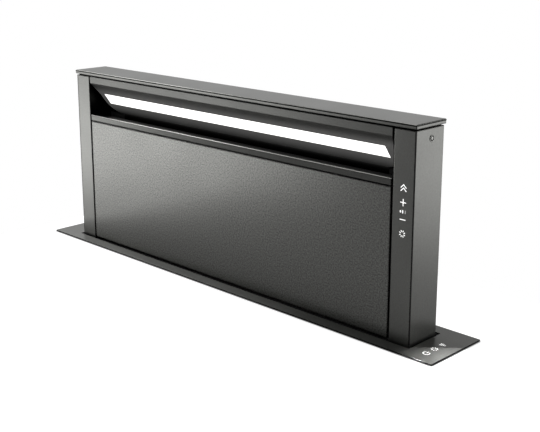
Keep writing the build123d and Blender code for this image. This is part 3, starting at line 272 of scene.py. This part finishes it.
spot = bpy.data.lights.new("corner_spot", "SPOT")
spot.spot_size = math.radians(7.4)
spot.spot_blend = 1.0
spot.shadow_soft_size = 0.03
spot.energy = 140.0
corner_spot = bpy.data.objects.new("corner_spot", spot)
scene.collection.objects.link(corner_spot)
corner_spot.location = lit_corner + spot_distance * way_to_spot
corner_spot.rotation_euler = (
    math.acos(way_to_spot[2] / np.linalg.norm(way_to_spot)),
    0.0,
    math.atan2(way_to_spot[1], way_to_spot[0]) + math.pi / 2,
)

# ---- cover plate --------------------------------------------------------------------------------
# The flat sheet of brushed stainless steel, coloured anthracite, that closes the cut-out. It is
# laser-cut, lies on the gasket, and its long grain runs along the slot.

# the scale of the grain's noise on x, y and z, which is low along the brushing
along = (60.0, 2500.0, 2500.0)
dark_grain = np.array([0.90, 0.907, 0.864])
light_grain = np.array([1.10, 1.108, 1.056])
speck_scale = 420.0
cloud_scale = 9.0
gloss_spread = 0.04
# the darkest level of the painted shade, as a share of the tone
painted_shade_level = 0.05
# painted highlight: edges twice as light where the rounding starts
painted_edge_highlight = ((0.995, 0.80, 2.0),)


def noise(tree, place, scale, detail=2.0):
    """Noise of this scale over the place, from 0 to 1."""
    return add(tree, "TexNoise", {"Vector": place, "Scale": scale, "Detail": detail}).outputs[0]


def mixed(tree, factor, first, second):
    """A colour between the first, at factor 0, and the second, at 1."""
    colours = {0: factor, 6: (*first, 1), 7: (*second, 1)}
    return add(tree, "Mix", colours, data_type="RGBA").outputs[2]


def scaled(tree, colour, factor):
    """The colour times the factor."""
    return add(tree, "VectorMath", {0: colour, "Scale": factor}, operation="SCALE").outputs[0]


def painted_edge_line(left):
    """Steps of painted light on a folded edge: a painted highlight where the rounding starts, and
    then painted shade down to what is left.
    """
    return ((0.999, 0.993, 1.5), (0.990, 0.955, left))


def painted_shade_factor(tree, place, painted_shades):
    """Painted shade: a factor that falls from 1 to a dark level where the object's own coordinate,
    or its absolute value, goes from start to end. Each fade is (axis, absolute, start, end), and
    they multiply."""
    axes = add(tree, "SeparateXYZ", {0: place}).outputs
    falls = []
    for axis, absolute, start, end in painted_shades:
        value = worked_out(tree, "ABSOLUTE", axes[axis]) if absolute else axes[axis]
        falls.append(ranged(tree, value, start, end, 1.0, painted_shade_level))
    return product(tree, *falls)


def brushed_ink(
    name, stretch, tone=0.17, rough=0.32, arris=0.0012, steps=painted_edge_highlight, speck=0.06,
    painted_shades=(), across=None, lean=None,
):
    """Brushed steel, coloured anthracite. Noise drawn out along the brushing gives the grain, and
    fine specks vary the tone. Edges are rounded over the radius arris, and there each step
    (start, end, factor) carries the tone to the factor as rounded . flat normal falls from start
    to end: these are painted highlights and painted shade along the edges. The fades are painted
    shade that darkens inner sides, across turns the gloss, and lean tips the normal."""
    material, tree, shader = new_material(name)
    place = add(tree, "TexCoord").outputs["Object"]
    drawn = add(tree, "Mapping", {"Scale": stretch, "Vector": place}).outputs["Vector"]
    grain = add(
        tree, "TexNoise", {"Vector": drawn, "Scale": 1.0, "Detail": 4.0, "Roughness": 0.6}
    ).outputs[0]
    colour = mixed(tree, grain, tone * dark_grain, tone * light_grain)
    specks = noise(tree, place, speck_scale, detail=1.0)
    depth = ranged(tree, specks, 0.3, 0.7, 1.0 - speck, 1.0 + speck)
    # painted shade darkens inner sides and hidden faces
    if painted_shades:
        depth = product(tree, depth, painted_shade_factor(tree, place, painted_shades))
    colour = scaled(tree, colour, depth)
    clouds = noise(tree, place, cloud_scale)
    gloss = ranged(tree, clouds, 0.0, 1.0, rough - gloss_spread, rough + gloss_spread)
    rounded = add(tree, "Bevel", {"Radius": arris}, samples=6).outputs[0]
    flat = add(tree, "NewGeometry").outputs["Normal"]
    together = add(tree, "VectorMath", {0: rounded, 1: flat}, operation="DOT_PRODUCT")
    # painted highlights and painted shade along the edges
    for start, end, factor in steps:
        painted_edge_light = ranged(tree, together.outputs["Value"], start, end, 1.0, factor)
        colour = scaled(tree, colour, painted_edge_light)
    if across is not None:
        to_world = {"vector_type": "VECTOR", "convert_from": "OBJECT", "convert_to": "WORLD"}
        tangent = add(tree, "VectorTransform", {0: across}, **to_world).outputs[0]
        feed(tree, shader, {"Anisotropic": 0.9, "Tangent": tangent})
    relief = {"Strength": 0.25, "Distance": 0.0001, "Height": grain, "Normal": rounded}
    normal = add(tree, "Bump", relief).outputs[0]
    if lean is not None:
        normal = add(tree, "VectorMath", {0: normal, 1: lean}, operation="ADD").outputs[0]
    feed(tree, shader, {"Metallic": 1.0, "Roughness": gloss})
    feed(tree, shader, {"Base Color": colour, "Normal": normal})
    return material


def dress(material, *names):
    """Gives the material to the CAD nodes of these names."""
    for name in names:
        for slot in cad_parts[name].material_slots:
            slot.material = material


plate_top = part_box("cover_plate")[1][2]
# painted shade on the plate's sides and underside below its top, and painted highlights and painted
# shade along its edges
ink_plate = brushed_ink(
    "ink_brushed_plate", along, tone=0.16, rough=0.32, arris=0.0024, steps=painted_edge_line(0.08),
    painted_shades=[(2, False, plate_top - 0.0001, plate_top - 0.0003)], across=(0.02, 1.0, 0.03),
)
dress(ink_plate, "cover_plate")

# ---- touch signs on the plate -------------------------------------------------------------------
# White signs printed on the right end of the plate, over the touch foil: power, light and filter.
# Each is made of strokes, a thin flat profile carried along a path, in millimetres.

ink_high = 0.00012
plate_sign_x = 0.4215
ray_count = 8
ray_turn = 0.39


def end_faces(rings, around):
    """One face over the first ring of points and one over the last, turned as ring_faces are."""
    return [list(range(around)), [(rings - 1) * around + k for k in reversed(range(around))]]


def joined(parts):
    """One set of points and faces from several, each (points, faces)."""
    points, faces, start = [], [], 0
    for part, part_faces in parts:
        points.append(part)
        faces += [[start + n for n in face] for face in part_faces]
        start += len(part)
    return np.vstack(points), faces


def stroke(path, width, closed):
    """A flat profile of four corners is carried along the path, mitred at its points. Each corner
    is path + side * (mitre direction), the lower two sunk by a third of the ink's height."""
    path = np.asarray(path, float)
    ahead = np.roll(path, -1, 0) - path
    behind = path - np.roll(path, 1, 0)
    if not closed:
        ahead[-1] = behind[-1]
        behind[0] = ahead[0]
    ahead /= np.linalg.norm(ahead, axis=1)[:, None]
    behind /= np.linalg.norm(behind, axis=1)[:, None]
    way = ahead + behind
    way /= np.linalg.norm(way, axis=1)[:, None]
    side = np.column_stack([-way[:, 1], way[:, 0]])
    square_on = (side * np.column_stack([-ahead[:, 1], ahead[:, 0]])).sum(1)
    side = side * (width / 2 / np.clip(square_on, 0.4, 1.0))[:, None]
    profile = ((-1.0, -0.3), (-0.9, 1.0), (0.9, 1.0), (1.0, -0.3))
    rings = [
        np.column_stack([path + side * out, np.full(len(path), ink_high * high)])
        for out, high in profile
    ]
    faces = ring_faces(len(path), len(profile), closed)
    if not closed:
        faces += end_faces(len(path), len(profile))
    return np.stack(rings, 1).reshape(-1, 3), faces


def sign(name, strokes, middle, up, width, ink):
    """One printed sign: its strokes, each (path, closed) with a width of its own if it has one, are
    set out from the middle along x and up, and raised along the normal, which is x cross up."""
    frame_of_sign = np.array([(1.0, 0.0, 0.0), up, np.cross((1.0, 0.0, 0.0), up)])
    parts = []
    for path, closed, *own_width in strokes:
        wide = own_width[0] if own_width else width
        points, faces = stroke(np.array(path) / 1000.0, wide / 1000.0, closed)
        parts.append((points @ frame_of_sign + np.array(middle), faces))
    piece = add_mesh(name, *joined(parts), smooth=False)
    piece.data.materials.append(ink)
    return piece


def open_ring(radius, points, shown, first):
    """Part of a circle: the shown number of its points, from the first on."""
    angle = (first + np.arange(shown)) * 2 * np.pi / points
    return np.column_stack([radius * np.cos(angle), radius * np.sin(angle)])


def rays_round(inner, outer):
    """Short straight strokes that point away from the middle."""
    angles = ray_turn + np.arange(ray_count) * 2 * np.pi / ray_count
    ends = np.column_stack([np.cos(angles), np.sin(angles)])
    return [([inner * way, outer * way], False) for way in ends]


def upright(x, low, high, *own_width):
    """A short upright stroke."""
    return ([(x, low), (x, high)], False, *own_width)


def printed_white(name, level):
    """White screen-printing ink, lit from behind where the touch field is on."""
    material, tree, shader = new_material(name)
    place = add(tree, "TexCoord").outputs["Object"]
    tint = mixed(tree, noise(tree, place, 3000.0), (0.82, 0.82, 0.81), (0.92, 0.92, 0.91))
    feed(tree, shader, {"Roughness": 0.55, "Emission Strength": level})
    feed(tree, shader, {"Base Color": tint, "Emission Color": tint})
    return material


ink_white = printed_white("sign_white", 1.1)
power_ring = (open_ring(4.9, 20, 17, 7), False)
filter_bars = [
    upright(-3.8, -3.6, 3.6),
    upright(-1.3, -3.6, 3.6),
    upright(1.3, -2.6, 2.2),
    upright(3.9, -1.6, 0.6),
]
plate_signs = {
    "sign_plate_fan": (-0.0334, 0.9, [power_ring, upright(0.0, 0.6, 5.6, 1.1)]),
    "sign_plate_light": (-0.0140, 1.1, rays_round(3.1, 5.4)),
    "sign_plate_filter": (0.0062, 0.9, filter_bars),
}
for name, (y, width, strokes) in plate_signs.items():
    piece = sign(name, strokes, (plate_sign_x, y, plate_top), (0, 1, 0), width, ink_white)
    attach(piece, "chassis")

# ---- gasket, worktop frame and touch foil -------------------------------------------------------
# A foam gasket seals the plate to the worktop. Inside it lies a folded galvanised frame, with a
# window for the touch foil, a printed circuit on polyester.

dark_spangle = np.array([0.86, 0.87, 0.89])
light_spangle = np.array([1.08, 1.09, 1.11])
# tone left on faces that look upwards, as painted shade
top_shade_level = 0.18


def speckled(name, dark, light, scale, rough, metallic=0.0, bump=0.1):
    """A moulded, cast or foamed surface: fine noise varies its tone and gives its texture."""
    material, tree, shader = new_material(name)
    place = add(tree, "TexCoord").outputs["Object"]
    speck = noise(tree, place, scale, detail=3.0)
    relief = add(tree, "Bump", {"Strength": bump, "Distance": 0.0002, "Height": speck})
    feed(tree, shader, {"Roughness": rough, "Metallic": metallic})
    feed(tree, shader, {"Base Color": mixed(tree, speck, dark, light), "Normal": relief.outputs[0]})
    return material


def zinc_coat(name, tone, scale=90.0, rough=0.42):
    """Zinc-coated steel: cells of a Voronoi pattern are the spangle, each with its own tone and
    gloss, and painted shade darkens what faces upwards."""
    material, tree, shader = new_material(name)
    place = add(tree, "TexCoord").outputs["Object"]
    cells = add(tree, "TexVoronoi", {"Vector": place, "Scale": scale}).outputs["Color"]
    split = add(tree, "SeparateColor", {0: cells}).outputs
    spangle = mixed(tree, split[0], tone * dark_spangle, tone * light_spangle)
    facing = add(tree, "SeparateXYZ", {0: add(tree, "NewGeometry").outputs["Normal"]}).outputs
    # painted shade: faces that look upwards are darkened
    top_shade = ranged(tree, facing["Z"], 0.3, 0.7, 1.0, top_shade_level)
    gloss = ranged(tree, split[1], 0.0, 1.0, rough - 0.06, rough + 0.08)
    feed(tree, shader, {"Metallic": 0.85, "Base Color": scaled(tree, spangle, top_shade)})
    feed(tree, shader, {"Roughness": gloss})
    return material


foam = speckled("foam_rubber", (0.016,) * 3, (0.03,) * 3, 900.0, 0.85, bump=0.3)
galvanised = zinc_coat("galvanised_sheet", 0.66, rough=0.54)
circuit = speckled("circuit_board", (0.02, 0.09, 0.04), (0.03, 0.13, 0.06), 400.0, 0.45)
dress(foam, "plate_gasket")
dress(galvanised, "worktop_frame")
dress(circuit, "touch_foil")

# ---- top cap ------------------------------------------------------------------------------------
# A flat tray of brushed anthracite steel on a recessed neck. A black strip round its folded edge
# is a painted shade line, and a bright bead along its top front edge is a painted highlight.
# Painted shade darkens the tray below its edge.

cap_low, cap_high = (np.array(corner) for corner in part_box("top_cap"))
cap_edge_foot = 0.0064
shade_line_from = 0.0010
shade_line_to = 0.0026
shade_line_proud = 0.00006
shade_line_sunk = 0.0003
bead_radius = 0.0005
bead_taper = 0.001
bead_from_corner = 0.0002
highlight_grain = (60.0, 1500.0, 1500.0)


def carried_profile(path, outward, profile, lift, closed=True):
    """A thin profile (out, up) is carried along a path: each point is path + out * outward of that
    corner + up * lift, and the ring of points at one corner joins the next."""
    path, outward, profile = (np.asarray(part, float) for part in (path, outward, profile))
    out, up = profile[None, :, :1], profile[None, :, 1:]
    points = path[:, None] + out * outward[:, None] + up * np.array(lift, float)
    faces = ring_faces(len(path), len(profile), closed)
    if not closed:
        faces += end_faces(len(path), len(profile))
    return points.reshape(-1, 3), faces


def turned(profile, centre, way, sides, turns):
    """A surface of revolution: the profile (radius, distance along the way) is turned round an axis
    through the centre, as centre + way * distance + (cos, sin of the angle) * radius."""
    profile = np.asarray(profile, float)
    angle = np.arange(turns)[:, None] * 2 * np.pi / turns
    first, second = np.array(sides, float)
    round_it = np.cos(angle) * first + np.sin(angle) * second
    radius, distance = profile[:, None, :1], profile[:, None, 1:]
    points = np.array(centre) + distance * np.array(way, float) + radius * round_it[None]
    faces = [face[:1] + face[:0:-1] for face in ring_faces(len(profile), turns)]
    faces += [face[::-1] for face in end_faces(len(profile), turns)]
    return points.reshape(-1, 3), faces


def front_bead(name, half, y, z, finish, tone):
    """A thin round bead along x, of brighter steel as a painted highlight: a profile with tapered
    ends is turned round the line at y, z.
    """
    ends = ((0.2, 0.0), (1.0, bead_taper), (1.0, half * 2 - bead_taper), (0.2, half * 2))
    profile = [(bead_radius * share, distance) for share, distance in ends]
    points, faces = turned(profile, (-half, y, z), (1, 0, 0), ((0, 1, 0), (0, 0, 1)), 12)
    bead = add_mesh(name, points, faces)
    bead.data.materials.append(
        brushed_ink(finish, highlight_grain, tone=tone, rough=0.3, arris=0.0001)
    )
    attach(bead, "tower")


# painted shade on the cap below the foot of its edge
cap_shade_from = cap_high[2] - cap_edge_foot
ink_cap = brushed_ink(
    "ink_brushed_cap", along, arris=0.0024, steps=painted_edge_line(0.08),
    painted_shades=[(2, False, cap_shade_from, cap_shade_from - 0.0003)],
)
dress(ink_cap, "top_cap")

# black sheet for the painted shade lines along edges
shade_line_black = brushed_ink("shade_line_black", (900.0,) * 3, tone=0.012, rough=0.5, arris=0.0001)
cap_corners = np.where(square > 0, cap_high[:2], cap_low[:2])
cap_rim = np.column_stack([cap_corners, np.full(4, cap_high[2])])
rim_outward = np.column_stack([square, np.zeros(4)])
rim_shade_line = [
    (-shade_line_sunk, -shade_line_to), (shade_line_proud, -shade_line_to),
    (shade_line_proud, -shade_line_from), (-shade_line_sunk, -shade_line_from),
]
# painted shade line round the cap's folded edge
cap_shade_line = add_mesh(
    "cap_shade_line", *carried_profile(cap_rim, rim_outward, rim_shade_line, (0, 0, 1)), smooth=False
)
cap_shade_line.data.materials.append(shade_line_black)
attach(cap_shade_line, "tower")

cap_bead_half = cap_high[0] - bead_from_corner
cap_bead_y = cap_low[1] + bead_radius * 0.9
cap_bead_z = cap_high[2] - bead_radius * 1.01
# painted highlight along the cap's top front edge
front_bead("cap_bead", cap_bead_half, cap_bead_y, cap_bead_z, "painted_highlight_rim", 0.5)

# ---- pillars ------------------------------------------------------------------------------------
# Folded from the same sheet, brushed upwards, and fixed to the lift columns; they carry the cap.
# A black strip on the outer front corner and the inner front edge of each, from foot to top, is a
# painted shade line. Painted shade also darkens their inner sides and tops.

upwards = (2500.0, 2500.0, 60.0)
pillar_low, pillar_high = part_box("pillar_right")
pillar_top = pillar_high[2]
pillar_inner_side = 0.3547
shade_line_foot = 0.0046
shade_line_skin = 0.0002
corner_on_front = 0.0012
corner_on_side = 0.0019
inner_on_front = 0.0009
inner_on_side = 0.0004
shade_line_top = pillar_top - 0.0001
# painted shade just under the top, which lies in the gap under the cap
painted_shade_top = (2, False, pillar_top - 0.0001, pillar_top - 0.00005)
# painted shade darkens the pillars' inner sides and tops
ink_up = brushed_ink(
    "ink_brushed_up", upwards, arris=0.0028, steps=painted_edge_line(0.06),
    painted_shades=[(0, True, pillar_inner_side, pillar_inner_side - 0.0002), painted_shade_top],
)
dress(ink_up, "pillar_left", "pillar_right")

corner_shade_line = [
    (-corner_on_front, -shade_line_proud), (shade_line_proud, -shade_line_proud),
    (shade_line_proud, corner_on_side), (-shade_line_skin, corner_on_side),
    (-shade_line_skin, shade_line_skin), (-corner_on_front, shade_line_skin),
]
inner_shade_line = [
    (-inner_on_front, -shade_line_proud), (shade_line_proud, -shade_line_proud),
    (shade_line_proud, inner_on_side), (-inner_on_front, inner_on_side),
]
edge_shade_lines = ((pillar_high[0], 1, corner_shade_line), (pillar_low[0], -1, inner_shade_line))
# painted shade lines along the pillars' front edges
shade_lines = []
for hand in (-1, 1):
    for edge, side, profile in edge_shade_lines:
        line = [(hand * edge, pillar_low[1], high) for high in (shade_line_foot, shade_line_top)]
        out = [(hand * side, 0, 0)] * 2
        shade_lines.append(carried_profile(line, out, profile, (0, 1, 0), closed=False))
pillar_shade_lines = add_mesh("pillar_shade_lines", *joined(shade_lines), smooth=False)
pillar_shade_lines.data.materials.append(shade_line_black)
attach(pillar_shade_lines, "tower")

# ---- side plugs ---------------------------------------------------------------------------------
# A round steel screw near the top of each pillar's outer side, with its shank through the sheet.
# Its turned head has a ring groove round a domed middle.

plug_low, plug_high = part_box("cap_screws")
plug_middle = np.array([0.0, (plug_low[1] + plug_high[1]) / 2, (plug_low[2] + plug_high[2]) / 2])
pillar_side = pillar_high[0]
head = plug_high[0] - pillar_side
plug_profile = [
    (0.0020, -0.006), (0.0020, 0.0), (0.0050, 0.0), (0.0050, head * 0.6), (0.0047, head),
    (0.0041, head), (0.0038, head * 0.1), (0.0026, head * 0.1), (0.0023, head * 0.75),
    (0.0004, head * 0.95),
]
hands = (((1, 0, 0), ((0, 1, 0), (0, 0, 1))), ((-1, 0, 0), ((0, 0, 1), (0, 1, 0))))
heads = [
    turned(plug_profile, plug_middle + np.array(way) * pillar_side, way, sides, 48)
    for way, sides in hands
]
# painted shade in the head's groove and at its foot, and painted highlights on its edges
ink_turned = brushed_ink(
    "ink_turned", (1500.0,) * 3, tone=0.30, arris=0.0003,
    painted_shades=[(0, True, pillar_side + head * 0.55, pillar_side + head * 0.35)],
)
plugs = add_mesh("side_plugs", *joined(heads), smooth=False)
plugs.data.materials.append(ink_turned)
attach(plugs, "tower")
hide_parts("cap_screws")

# ---- touch signs and touch board of the right pillar --------------------------------------------
# White signs for up, more, level, less and light, printed on the pillar's front. The circuit board
# that feels the finger lies behind the sheet.

pillar_sign_x = 0.373
pillar_stroke = 1.2
level_high = 0.1970
ink_dim = printed_white("sign_dim", 0.0)
chevrons = [([(-4.8, low), (0, low + 4.7), (4.8, low)], False) for low in (-4.9, -0.2)]
dash = ([(-5.0, 0), (5.0, 0)], False)
lit_bars = [upright(-4.0, -1.5, 1.5, 2.2), upright(-0.2, -2.3, 2.3, 1.5)]
pillar_signs = {
    "sign_up": (0.2311, ink_white, chevrons),
    "sign_more": (0.2102, ink_white, [dash, upright(0, -5.2, 5.2)]),
    "sign_less": (0.1857, ink_white, [dash]),
    "sign_light": (0.1654, ink_white, rays_round(2.7, 5.3)),
    "sign_level_on": (level_high, ink_white, lit_bars),
    "sign_level_off": (level_high, ink_dim, [upright(4.2, -2.4, 2.4, 1.3)]),
}
for name, (high, ink, strokes) in pillar_signs.items():
    middle = (pillar_sign_x, pillar_low[1], high)
    piece = sign(name, strokes, middle, (0, 0, 1), pillar_stroke, ink)
    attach(piece, "tower")
dress(circuit, "pillar_touch_board")

# ---- front panel and its hinge ------------------------------------------------------------------
# The tilting front is a shallow tray of fine-brushed anthracite steel, with a black coated liner
# tray inside it. It turns on two short pins at its foot.

fine_along = (300.0, 1800.0, 1800.0)
front_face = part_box("front_panel")[0][1]
# painted shade on the tray's returns behind its face, and painted highlights and painted shade
# along its edges
ink_fine = brushed_ink(
    "ink_brushed_fine", fine_along, arris=0.0028, steps=painted_edge_line(0.08), speck=0.34,
    painted_shades=[(1, False, front_face + 0.0006, front_face + 0.0010)],
)
coated = speckled("black_coat", (0.022,) * 3, (0.034,) * 3, 1400.0, 0.5, bump=0.15)
dress(ink_fine, "front_panel")
dress(coated, "panel_liner", "panel_hinge_pins")

# ---- sill ---------------------------------------------------------------------------------------
# An upturned channel of the same steel between the pillars, above the panel. A bright bead along
# its top front edge is a painted highlight, and painted shade darkens its top behind the face. Its
# shading is tipped a little, so that it mirrors a darker part of the surround.

sill_low, sill_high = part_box("sill_rail")
ink_sill = brushed_ink(
    "ink_brushed_sill", along, arris=0.0028, steps=painted_edge_line(0.08),
    painted_shades=[(1, False, front_face + 0.0020, front_face + 0.0030)], lean=(0.15, 0.0, -0.02),
)
dress(ink_sill, "sill_rail")

sill_bead_half = 0.3524
sill_bead_y = sill_low[1] + bead_radius * 0.8
sill_bead_z = sill_high[2] - bead_radius * 0.6
# painted highlight along the sill's top front edge
front_bead("sill_bead", sill_bead_half, sill_bead_y, sill_bead_z, "painted_highlight_bead", 0.75)

# ---- deflector and back panel -------------------------------------------------------------------
# Folded from anthracite sheet. The deflector's long window holds the light. A painted glow
# brightens the sheet round it, and painted shade darkens its foot and upper flange.

strip_low, strip_high = (corner[2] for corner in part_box("light_diffuser"))
painted_glow_level = 0.07
ink_sheet = brushed_ink("ink_sheet", along, tone=0.13, rough=0.4)
ink_painted_glow = brushed_ink(
    "ink_painted_glow", along, tone=0.13, rough=0.36,
    painted_shades=[(2, False, strip_low - 0.006, strip_low - 0.028), painted_shade_top],
)
tree = ink_painted_glow.node_tree
height = add(tree, "SeparateXYZ", {0: add(tree, "TexCoord").outputs["Object"]}).outputs["Z"]
# painted glow on the sheet above and below the light's window
glow = product(
    tree,
    ranged(tree, height, strip_high, strip_high + 0.014, 1.0, 0.0, smooth=True),
    ranged(tree, height, strip_low - 0.024, strip_low, 0.0, 1.0, smooth=True),
)
glow = worked_out(tree, "MULTIPLY", glow, painted_glow_level)
feed(tree, tree.nodes["Principled BSDF"], {"Emission Strength": glow})
feed(tree, tree.nodes["Principled BSDF"], {"Emission Color": (1.0, 0.99, 0.97, 1)})
dress(ink_sheet, "back_panel")
dress(ink_painted_glow, "deflector")

# ---- light --------------------------------------------------------------------------------------
# An opal acrylic diffuser lies in the deflector's window, with an extruded aluminium channel and a
# board of light diodes behind it.

opal, tree, shader = new_material("opal_acrylic")
haze = noise(tree, add(tree, "TexCoord").outputs["Object"], 30.0)
opal_light = mixed(tree, haze, (1.0, 0.985, 0.96), (1.0, 1.0, 0.99))
feed(tree, shader, {"Base Color": (0.9, 0.9, 0.89, 1), "Roughness": 0.35})
feed(tree, shader, {"Emission Strength": 1.5, "Emission Color": opal_light})
aluminium = speckled(
    "mill_aluminium", (0.58, 0.58, 0.59), (0.68, 0.68, 0.69), 600.0, 0.35, metallic=1.0, bump=0.05
)
board_white = speckled("diode_board", (0.72, 0.72, 0.70), (0.8, 0.8, 0.78), 500.0, 0.5)
dress(opal, "light_diffuser")
dress(aluminium, "lamp_channel")
dress(board_white, "led_board")

# ---- grease filters -----------------------------------------------------------------------------
# Each filter is a frame of folded aluminium round pleated layers of expanded mesh. The two stand
# side by side in a black coated frame behind the panel.

strand_turn = 0.6


def expanded_mesh(name):
    """Aluminium mesh: the higher of two crossed waves over the pleats are the strands, and it is
    dark between them."""
    material, tree, shader = new_material(name)
    place = add(tree, "TexCoord").outputs["Object"]
    waves = []
    for turn in (strand_turn, -strand_turn):
        leaning = add(tree, "Mapping", {"Rotation": (0.0, turn, 0.0), "Vector": place}).outputs[0]
        wave = add(tree, "TexWave", {"Vector": leaning, "Scale": 140.0, "Distortion": 0.4})
        waves.append(wave.outputs[0])
    crossed = worked_out(tree, "MAXIMUM", *waves)
    tint = mixed(tree, crossed, (0.16, 0.16, 0.165), (0.66, 0.66, 0.67))
    relief = add(tree, "Bump", {"Strength": 0.6, "Distance": 0.0006, "Height": crossed})
    feed(tree, shader, {"Metallic": 1.0, "Roughness": 0.38})
    feed(tree, shader, {"Base Color": tint, "Normal": relief.outputs[0]})
    return material


dress(expanded_mesh("filter_mesh"), "grease_filter_left", "grease_filter_right")
dress(coated, "filter_frame")

# ---- catches, slides and shafts -----------------------------------------------------------------
# Drawn steel for the panel's catches, the ball cages, the shafts and the damper's pin. The slide
# carriages and their rails are zinc-plated.

steel = speckled(
    "drawn_steel", (0.46, 0.46, 0.47), (0.56, 0.56, 0.57), 500.0, 0.3, metallic=1.0, bump=0.05
)
zinc = zinc_coat("bright_zinc", 0.6, scale=400.0, rough=0.3)
dress(steel, "magnet_catches", "ball_cages", "cross_shaft", "fan_shaft", "damper_pin")
dress(zinc, "slide_carriage_left", "slide_carriage_right", "guide_rail_left", "guide_rail_right")

# ---- columns, crosspiece and chassis ------------------------------------------------------------
# Folded galvanised sheet: the tower's columns and their tie, and the case that hangs under the
# worktop, screwed together and held by clamps, with brackets for feet.

dress(galvanised, "lift_column_left", "lift_column_right", "bottom_crosspiece")
dress(galvanised, "chassis_end_left", "chassis_end_right", "chassis_front_panel")
dress(galvanised, "chassis_back_panel", "chassis_floor")
dress(zinc, "chassis_screws", "clamp_screws", "foot_brackets", "clamp_brackets")

# ---- racks, pinions and bearings ----------------------------------------------------------------
# Black acetal, moulded: the racks on the columns' joggled webs, the pinions on the cross shaft,
# and the blocks in which the shaft turns.

acetal = speckled("black_acetal", (0.018, 0.018, 0.019), (0.028, 0.028, 0.029), 700.0, 0.38)
dress(acetal, "rack_left", "rack_right", "pinions", "shaft_bearings")

# ---- lift drive and blower motor ----------------------------------------------------------------
# A moulded gearbox of glass-filled plastic turns the shaft. The motors are deep-drawn cans with
# black stoved paint, one on the gearbox and one on the blower.

moulded = speckled(
    "black_moulding", (0.02, 0.02, 0.021), (0.032, 0.032, 0.033), 900.0, 0.55, bump=0.25
)
stoved = speckled(
    "stoved_paint", (0.03, 0.03, 0.032), (0.042, 0.042, 0.045), 250.0, 0.34, bump=0.08
)
dress(moulded, "lift_gearbox")
dress(stoved, "lift_motor", "blower_motor")

# ---- blower, damper and control box -------------------------------------------------------------
# Moulded plastic: the grey scroll between its two galvanised plates, the black impeller and outlet
# collar, the grey flaps of the damper, and the control box with its lid and rubber grommet.

grey = speckled(
    "grey_moulding", (0.20, 0.20, 0.205), (0.25, 0.25, 0.255), 800.0, 0.5, bump=0.2
)
dress(grey, "blower_scroll", "damper_flap_front", "damper_flap_back")
dress(grey, "control_box", "control_box_lid")
dress(moulded, "impeller", "outlet_collar")
dress(galvanised, "blower_inlet_plate", "blower_back_plate")
dress(zinc, "blower_screws")
dress(foam, "cable_grommet")
